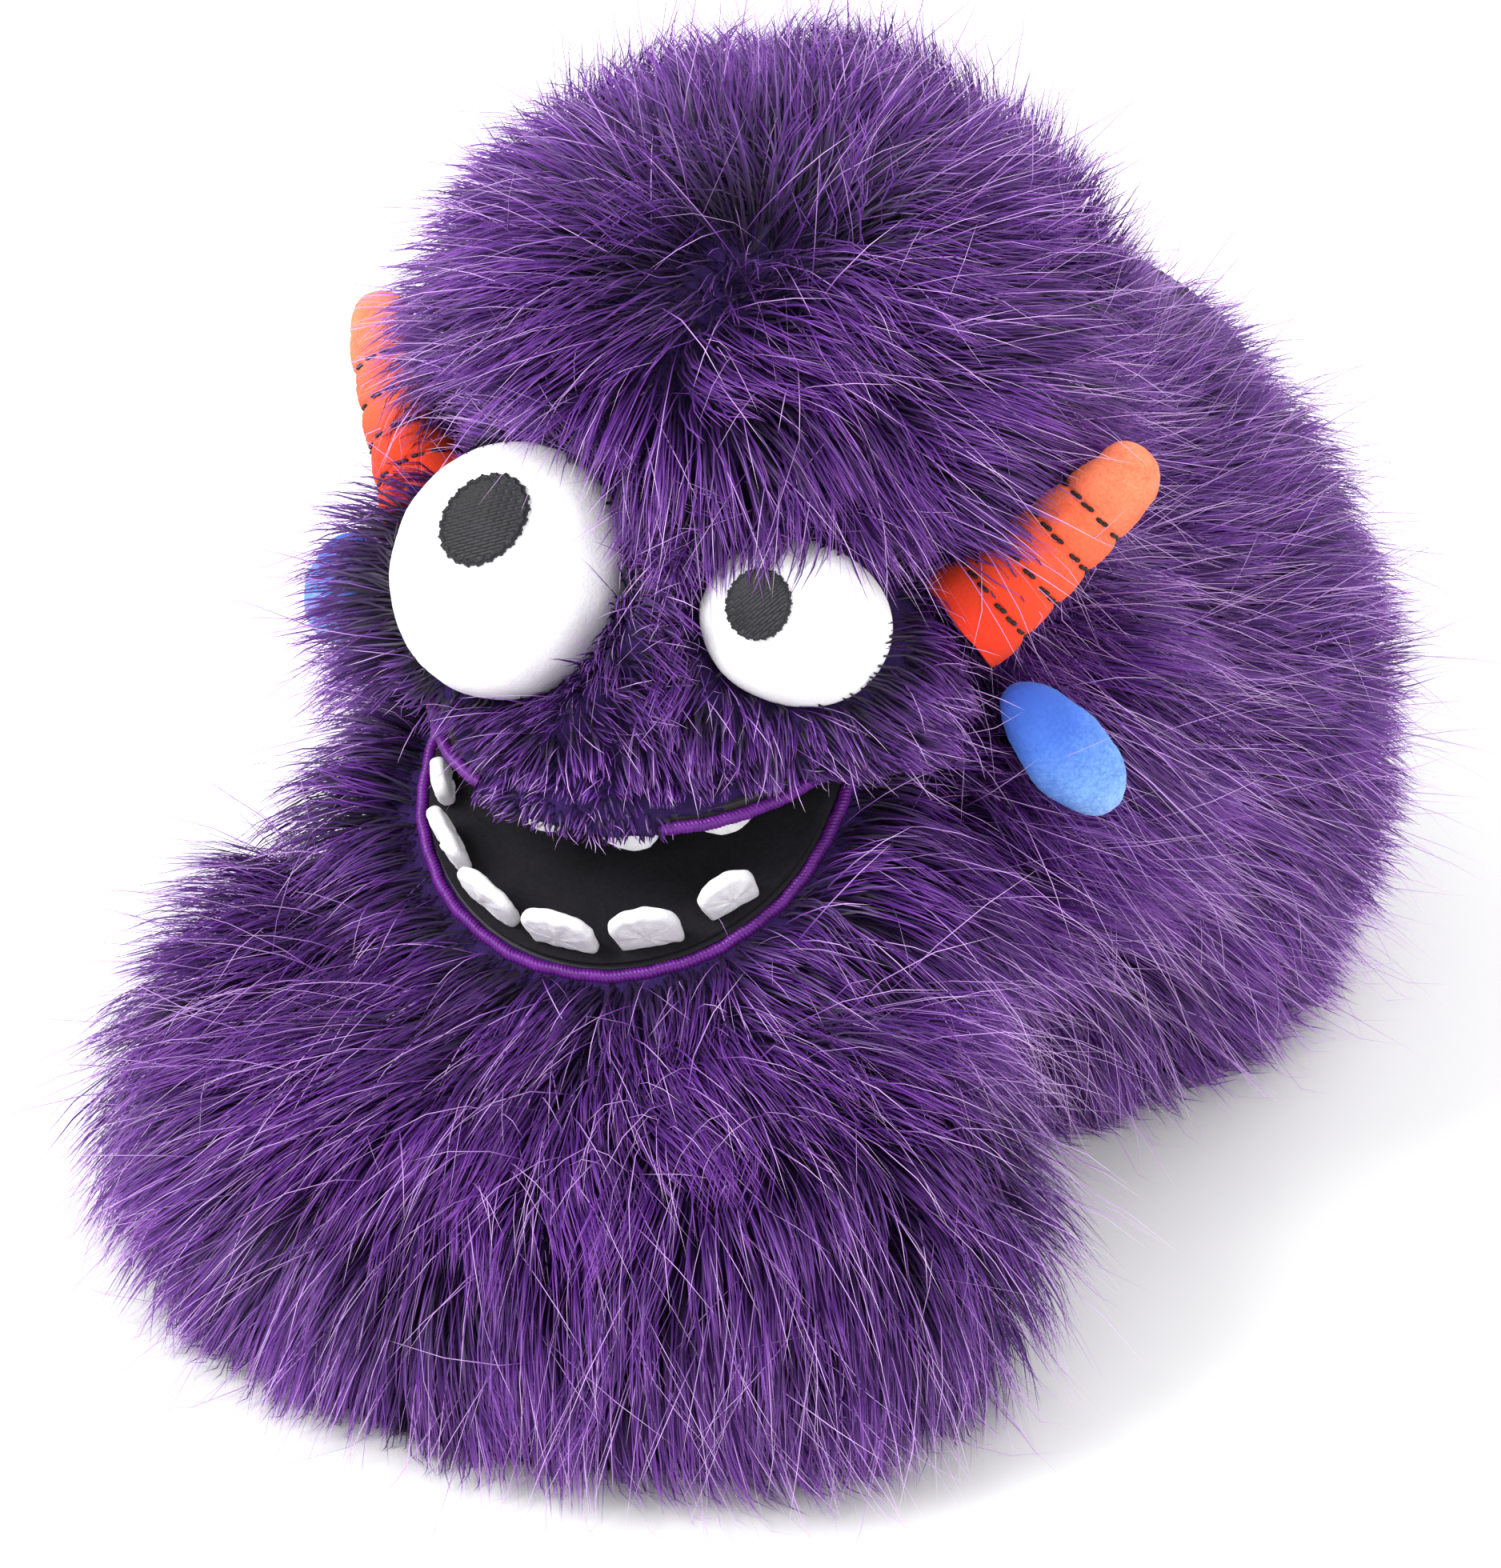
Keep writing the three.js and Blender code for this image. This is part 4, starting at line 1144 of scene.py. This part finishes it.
def keepRoot(q, n):
    keep = ~((q[:, 2] < 6) & (n[:, 2] < -0.75))
    keep &= ~((np.hypot(q[:, 0], q[:, 2] - armHole["height"]) < armHole["radius"] + 1.5) & (q[:, 1] > 88))
    keep &= ~((np.hypot(q[:, 1] - 5, q[:, 2] - 122) < 9) & (np.abs(q[:, 0]) < 43))
    for name, lip in lips.items():
        outside, inLip = lipDistance(q, lip)
        margin = pile["rootMargin"][name]
        keep &= ~((outside < margin) & (np.abs(inLip[:, 2]) < 7) & (inLip[:, 1] < 3))
    for eye in eyes.values():
        rim, inEye = eyeDistance(q, eye)
        behind = inEye[:, 1] > 1 - domeDepth(eye, inEye[:, 0], inEye[:, 2])
        keep &= ~((rim < 0.97) & behind & (inEye[:, 1] < 30))
    for side in (1, -1):
        keep &= nearHorn(q, side)[0] > -1
        inEar = local(earMatrix(side), q * mm + origin) / np.array(ear["half"])
        keep &= np.linalg.norm(inEar, axis=1) > 0.9
    return keep


def flat(v, n):      # the share of v that lies along the surface, at most 1 long
    along = v - (v * n).sum(1, keepdims=True) * n
    long = np.linalg.norm(along, axis=1, keepdims=True)
    return along / np.maximum(long, 20)


def swirl(q):      # soft eddies in the groom, between -1 and 1
    x, y, z = q[:, 0] * 0.052, q[:, 1] * 0.052, q[:, 2] * 0.052
    wide = np.sin(x * 1.3 + 1.7 * np.sin(y + 0.6)) * np.cos(z * 1.1 - y * 0.7 + 0.9 * np.sin(x * 1.9))
    fine = np.sin(x * 3.1 - z * 2.3 + 1.1 * np.sin(y * 2.7)) * np.cos(y * 2.9 + x * 1.2 + 2)
    return 0.62 * wide + 0.38 * fine


def groomed(q, n):      # which way the pile is brushed, how far it stands up and how long it is
    crown = flat(q - np.array(pile["crownWhorl"]), n)
    bridge = flat(q - np.array(pile["bridgeWhorl"]), n)
    back = flat(q - np.array(pile["neckMiddle"]), n)
    beard = flat(q - np.array(pile["lipMiddle"]), n)
    front = 1 - ease(q[:, 1], 6, 30)
    toBridge = (front * (1 - ease(q[:, 2], 150, 166)))[:, None]
    toBack = ease(q[:, 1], 28, 80)[:, None]
    upper = unit(crown * (1 - toBridge) + bridge * toBridge + 1e-6) * (1 - toBack) + back * toBack
    isJaw = (foldAngle(q * mm + origin) > cover["splitFront"])[:, None]
    toSleeve = ease(q[:, 1], -5, 60)[:, None]
    lower = beard * (1 - toSleeve) + back * toSleeve
    groom = np.where(isJaw, lower, upper)
    jaw = isJaw[:, 0]
    length = lengths["body"] + lengths["backAdds"] * ease(q[:, 1], 60, 140)
    lift = np.full(len(q), pile["lift"])
    fromBridge = np.linalg.norm(q - np.array(pile["bridgeWhorl"]), axis=1)
    face = (1 - ease(fromBridge, 28, 62)) * ~jaw
    length = length * (1 - face) + lengths["face"] * face
    lift = lift * (1 - face) + lifts["face"] * face
    outside, inLip = lipDistance(q, lips["upper"])
    over = ~jaw & (q[:, 1] < 10) & (outside < 30)
    edge = (1 - ease(np.abs(inLip[:, 2]), 6, 34)) * over
    length = np.where(over, np.minimum(length, 2 + 0.5 * np.abs(inLip[:, 2])), length)
    lift = lift * (1 - edge) + lifts["upperRim"] * edge
    outside, inLip = lipDistance(q, lips["lower"])
    away = np.maximum(outside, 0) + np.abs(inLip[:, 2]) * 0.7
    rim = (1 - ease(away, 2, 36)) * jaw * (q[:, 1] < 12)
    length = np.where(jaw & (q[:, 1] < 12), lengths["jaw"], length) * (1 - rim) + lengths["lowerRim"] * rim
    lift = lift * (1 - rim) + lifts["lowerRim"] * rim
    cheek = ease(np.abs(q[:, 0]), 40, 62) * ease(q[:, 2], 62, 84) * (1 - ease(q[:, 2], 128, 146))
    cheek *= 1 - ease(q[:, 1], 45, 75)
    length = length + lengths["cheekAdds"] * cheek
    lift = lift + lifts["cheekAdds"] * cheek
    shoulder = ease(np.abs(q[:, 0]), 48, 72) * ease(q[:, 2], 44, 66) * jaw * (1 - ease(q[:, 1], -10, 10))
    length = length - lengths["shoulderLoses"] * shoulder
    for eye in eyes.values():
        share, inEye = eyeDistance(q, eye)
        close = (1 - ease(share, 1.1, 1.75)) * (np.abs(inEye[:, 1]) < 34)
        centre = (np.array(at(*eye["place"])) - origin) / mm
        groom = groom + flat(q - centre, n) * (close * 2.4)[:, None]
        length = length * (1 - close) + lengths["eyeRim"] * close
        lift = lift * (1 - 0.4 * close)
    veil = (1 - ease(q[:, 0], -48, -38)) * ease(q[:, 2], 92, 108) * (1 - ease(q[:, 2], 142, 156))
    veil *= 1 - ease(q[:, 1], 6, 20)
    length = np.maximum(length, lengths["veil"] * veil)
    lift = lift * (1 - veil) + lifts["veil"] * veil
    long = np.linalg.norm(groom, axis=1, keepdims=True)
    groom = groom / np.maximum(long, 1)
    top = (1 - ease(np.linalg.norm(q - np.array(pile["crownWhorl"]), axis=1), 20, 95)) * ~jaw
    turn = swirl(q) * (pile["swirl"] + (pile["crownSwirl"] - pile["swirl"]) * top)
    groom = groom * np.cos(turn)[:, None] + np.cross(n, groom) * np.sin(turn)[:, None]
    low = 1 - ease(q[:, 2], 4, 26)
    lift = lift * (1 - low) + lifts["table"] * low
    return groom, lift, length


def parted(points):      # pushes strands out of the eyes, horns and ears; points are mm, strand by step
    shape = points.shape
    q = points.reshape(-1, 3)
    for eye in eyes.values():
        matrix = eyeMatrix(eye)
        inEye = local(matrix, q * mm + origin)
        share = (inEye[:, 0] / eye["half"][0]) ** 2 + (inEye[:, 2] / eye["half"][2]) ** 2
        surface = -domeDepth(eye, inEye[:, 0], inEye[:, 2]) - pile["eyeMargin"]
        hit = (share < 1) & (inEye[:, 1] > surface) & (inEye[:, 1] < 12)
        inEye[hit, 1] = surface[hit]
        q[hit] = (placed(matrix, inEye[hit]) - origin) / mm
    for side in (1, -1):
        near = np.linalg.norm(q - hornAxis(side)[0][6], axis=1) < 60
        gap, middle, radius = nearHorn(q[near], side)
        spot = q[near]
        hit = gap < pile["hornMargin"]
        spot[hit] = middle[hit] + unit(spot[hit] - middle[hit]) * (radius[hit] + pile["hornMargin"])[:, None]
        q[near] = spot
        matrix = earMatrix(side)
        half = np.array(ear["half"]) + pile["earMargin"]
        inEar = local(matrix, q * mm + origin) / half
        far = np.linalg.norm(inEar, axis=1)
        hit = far < 1
        inEar[hit] *= (1 / np.maximum(far[hit], 0.05))[:, None]
        q[hit] = (placed(matrix, inEar[hit] * half) - origin) / mm
    q[:, 2] = np.maximum(q[:, 2], pile["floor"])
    q[:, 1] = np.minimum(q[:, 1], pile["backEnd"])
    return q.reshape(shape)


def held(points):      # shortens a strand whose tip would stand too far out of the part's own box
    low = (np.array(cadLow) - origin) / mm - np.array(pile["reach"])
    high = (np.array(cadHigh) - origin) / mm + np.array(pile["reach"])
    roots = points[:, :1]
    away = points - roots
    room = np.where(away > 0, high - roots, roots - low) / np.maximum(np.abs(away), 0.01)
    share = np.minimum(1, room.min(axis=(1, 2)))
    return roots + away * share[:, None, None]


def grown(q, n):
    count = len(q)
    groom, lift, length = groomed(q, n)
    guard = random.random(count) < pile["guards"]
    length = length * random.uniform(0.78, 1.12, count) * np.where(guard, random.uniform(1.15, 1.6, count), 1)
    fromWhorl = np.linalg.norm(q - np.array(pile["crownWhorl"]), axis=1)
    fromWhorl = np.minimum(fromWhorl, np.linalg.norm(q - np.array(pile["bridgeWhorl"]), axis=1))
    loose = (1 + 1.2 * (1 - ease(fromWhorl, 4, 34)))[:, None]
    stray = random.normal(0, 1, (count, 3)) * np.where(guard, 0.36, 0.15)[:, None] * loose
    side = unit(np.cross(n, groom) + 1e-6)
    start = unit(n * (lift + 0.2)[:, None] + groom * (0.9 - lift)[:, None] + stray * 0.6)
    down = np.array([0, 0, -1.0]) * pile["droop"]
    end = unit(n * (lift * 0.62)[:, None] + groom * (1.0 - lift * 0.5)[:, None] + down + stray)
    t = np.linspace(0, 1, pile["steps"] + 1)[None, :, None]
    points = q[:, None] + length[:, None, None] * (start[:, None] * t + (end - start)[:, None] * t * t / 2)
    sway = random.normal(0, 0.7, (count, 2)) * np.where(guard, 1.4, 1)[:, None]
    points = points + side[:, None] * (sway[:, :1] * np.sin(t[0, :, 0] * 2.6 + sway[:, 1:]))[:, :, None] * t
    heads = random.choice(count, max(1, count // pile["clump"]), replace=False)
    tree = KDTree(len(heads))
    for i, h in enumerate(heads):
        tree.insert(q[h], i)
    tree.balance()
    chief = np.array([heads[tree.find(p)[1]] for p in q])
    pull = np.where(guard, 0.1, 0.6)[:, None, None] * random.uniform(0.5, 1, (count, 1, 1)) * t ** 1.4
    scale = (length / length[chief])[:, None, None]
    leader = q[chief][:, None] + (points[chief] - q[chief][:, None]) * np.minimum(scale, 1.2)
    points = points * (1 - pull) + (leader + (q - q[chief])[:, None] * 0.3) * pull
    clumpTone = random.random(count)[chief]
    kind = np.clip(0.4 + (clumpTone - 0.5) * 0.42 + random.normal(0, 0.13, count), 0.02, 0.8)
    kind = np.where(guard, random.uniform(0.88, 0.97, count), kind)
    wide = np.where(guard, pile["guardWidth"], pile["width"]) * random.uniform(0.75, 1.2, count)
    points = held(points)
    return parted(points), kind, wide, guard


def ribbonPiece(name, points, normals, kind, wide, guard):
    count, rows = points.shape[:2]
    heading = unit(np.gradient(points, axis=1))
    face = unit(normals[:, None] - (normals[:, None] * heading).sum(2, keepdims=True) * heading)
    across = np.cross(heading, face)
    roll = random.normal(0, 1, (count, 1, 1)) * np.where(guard, 0.7, 0.45)[:, None, None]
    across = across * np.cos(roll) + face * np.sin(roll)
    taper = np.array([1, 1, 0.9, 0.6])[None, :, None] * (wide / 2)[:, None, None]
    body, offset = points[:, :4], across[:, :4] * taper
    pair = np.stack([body - offset, body + offset], 2).reshape(count, 8, 3)
    verts = np.concatenate([pair, points[:, 4:]], 1) * mm + origin
    first = np.arange(count)[:, None] * 9
    corners = np.array([0, 1, 3, 2, 2, 3, 5, 4, 4, 5, 7, 6, 6, 7, 8])
    along = np.array([0, 0, 1, 1, 1, 1, 2, 2, 2, 2, 3, 3, 3, 3, 4]) / 4
    edge = np.array([-1, 1, 1, -1, -1, 1, 1, -1, -1, 1, 1, -1, -1, 1, 0]) * 0.008
    mesh = bpy.data.meshes.new(name)
    mesh.vertices.add(count * 9)
    mesh.vertices.foreach_set("co", verts.ravel())
    mesh.loops.add(count * 15)
    mesh.loops.foreach_set("vertex_index", (first + corners).ravel())
    mesh.polygons.add(count * 4)
    starts = np.arange(count)[:, None] * 15 + np.array([0, 4, 8, 12])
    mesh.polygons.foreach_set("loop_start", starts.ravel())
    lookup = mesh.uv_layers.new(name="OFBake")
    uv = np.stack([kind[:, None] + edge[None], np.repeat(along[None], count, 0)], 2)
    lookup.data.foreach_set("uv", uv.ravel())
    mesh.update(calc_edges=True)
    mesh.shade_smooth()
    piece = bpy.data.objects.new(name, mesh)
    bpy.context.scene.collection.objects.link(piece)
    return piece


def sprout():
    areas = [sum(p.area for p in piece.data.polygons) for piece in (upperCover, lowerCover)]
    roots, normals = [], []
    for piece, area in zip((upperCover, lowerCover), areas):
        made = sampled(piece, int(pile["strands"] * area / sum(areas)))
        roots.append(made[0])
        normals.append(made[1])
    q, n = (np.concatenate(roots) - origin) / mm, np.concatenate(normals)
    keep = keepRoot(q, n)
    q, n = q[keep], n[keep]
    print(f"{len(q)} strands rooted")
    points, kind, wide, guard = grown(q, n)
    angle = foldAngle(q * mm + origin)
    lower = angle > cover["splitFront"]
    x, y = q[:, 0], q[:, 1]
    patches = [
        ("snout_pile", ~lower & (y < 22), "head_fur", bendUpper),
        ("crown_pile", ~lower & (y >= 22) & (y < 72), None, bendUpper),
        ("left_back_pile", ~lower & (y >= 72) & (x >= 0), "sleeve_fur", bendUpper),
        ("right_back_pile", ~lower & (y >= 72) & (x < 0), None, bendUpper),
        ("left_beard_pile", lower & (y < 8) & (x >= 0), "beard_fur", bendLower),
        ("right_beard_pile", lower & (y < 8) & (x < 0), None, bendLower),
        ("left_flank_pile", lower & (y >= 8) & (x >= 0), None, bendLower),
        ("right_flank_pile", lower & (y >= 8) & (x < 0), None, bendLower),
    ]
    for name, chosen, stands, bendIt in patches:
        piece = ribbonPiece(name, points[chosen], n[chosen], kind[chosen], wide[chosen], guard[chosen])
        dress(piece, longPile)
        bendIt(piece)
        if stands:
            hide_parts(stands)
        print(f"{name}: {chosen.sum()} strands")


longPile = furMaterial()
sprout()

# floor


floor = {"half": 3.0, "colour": (0.93, 0.93, 0.93, 1)}      # half in m


def makeFloor():
    size = floor["half"]
    piece = meshObject("floor", [(-size, -size, 0), (size, -size, 0), (size, size, 0), (-size, size, 0)],
                       [(0, 1, 2, 3)])
    paper, tree, shader = newMaterial("paleFloor", 0.9)
    shader.inputs["Base Color"].default_value = floor["colour"]
    piece.data.materials.append(paper)


makeFloor()
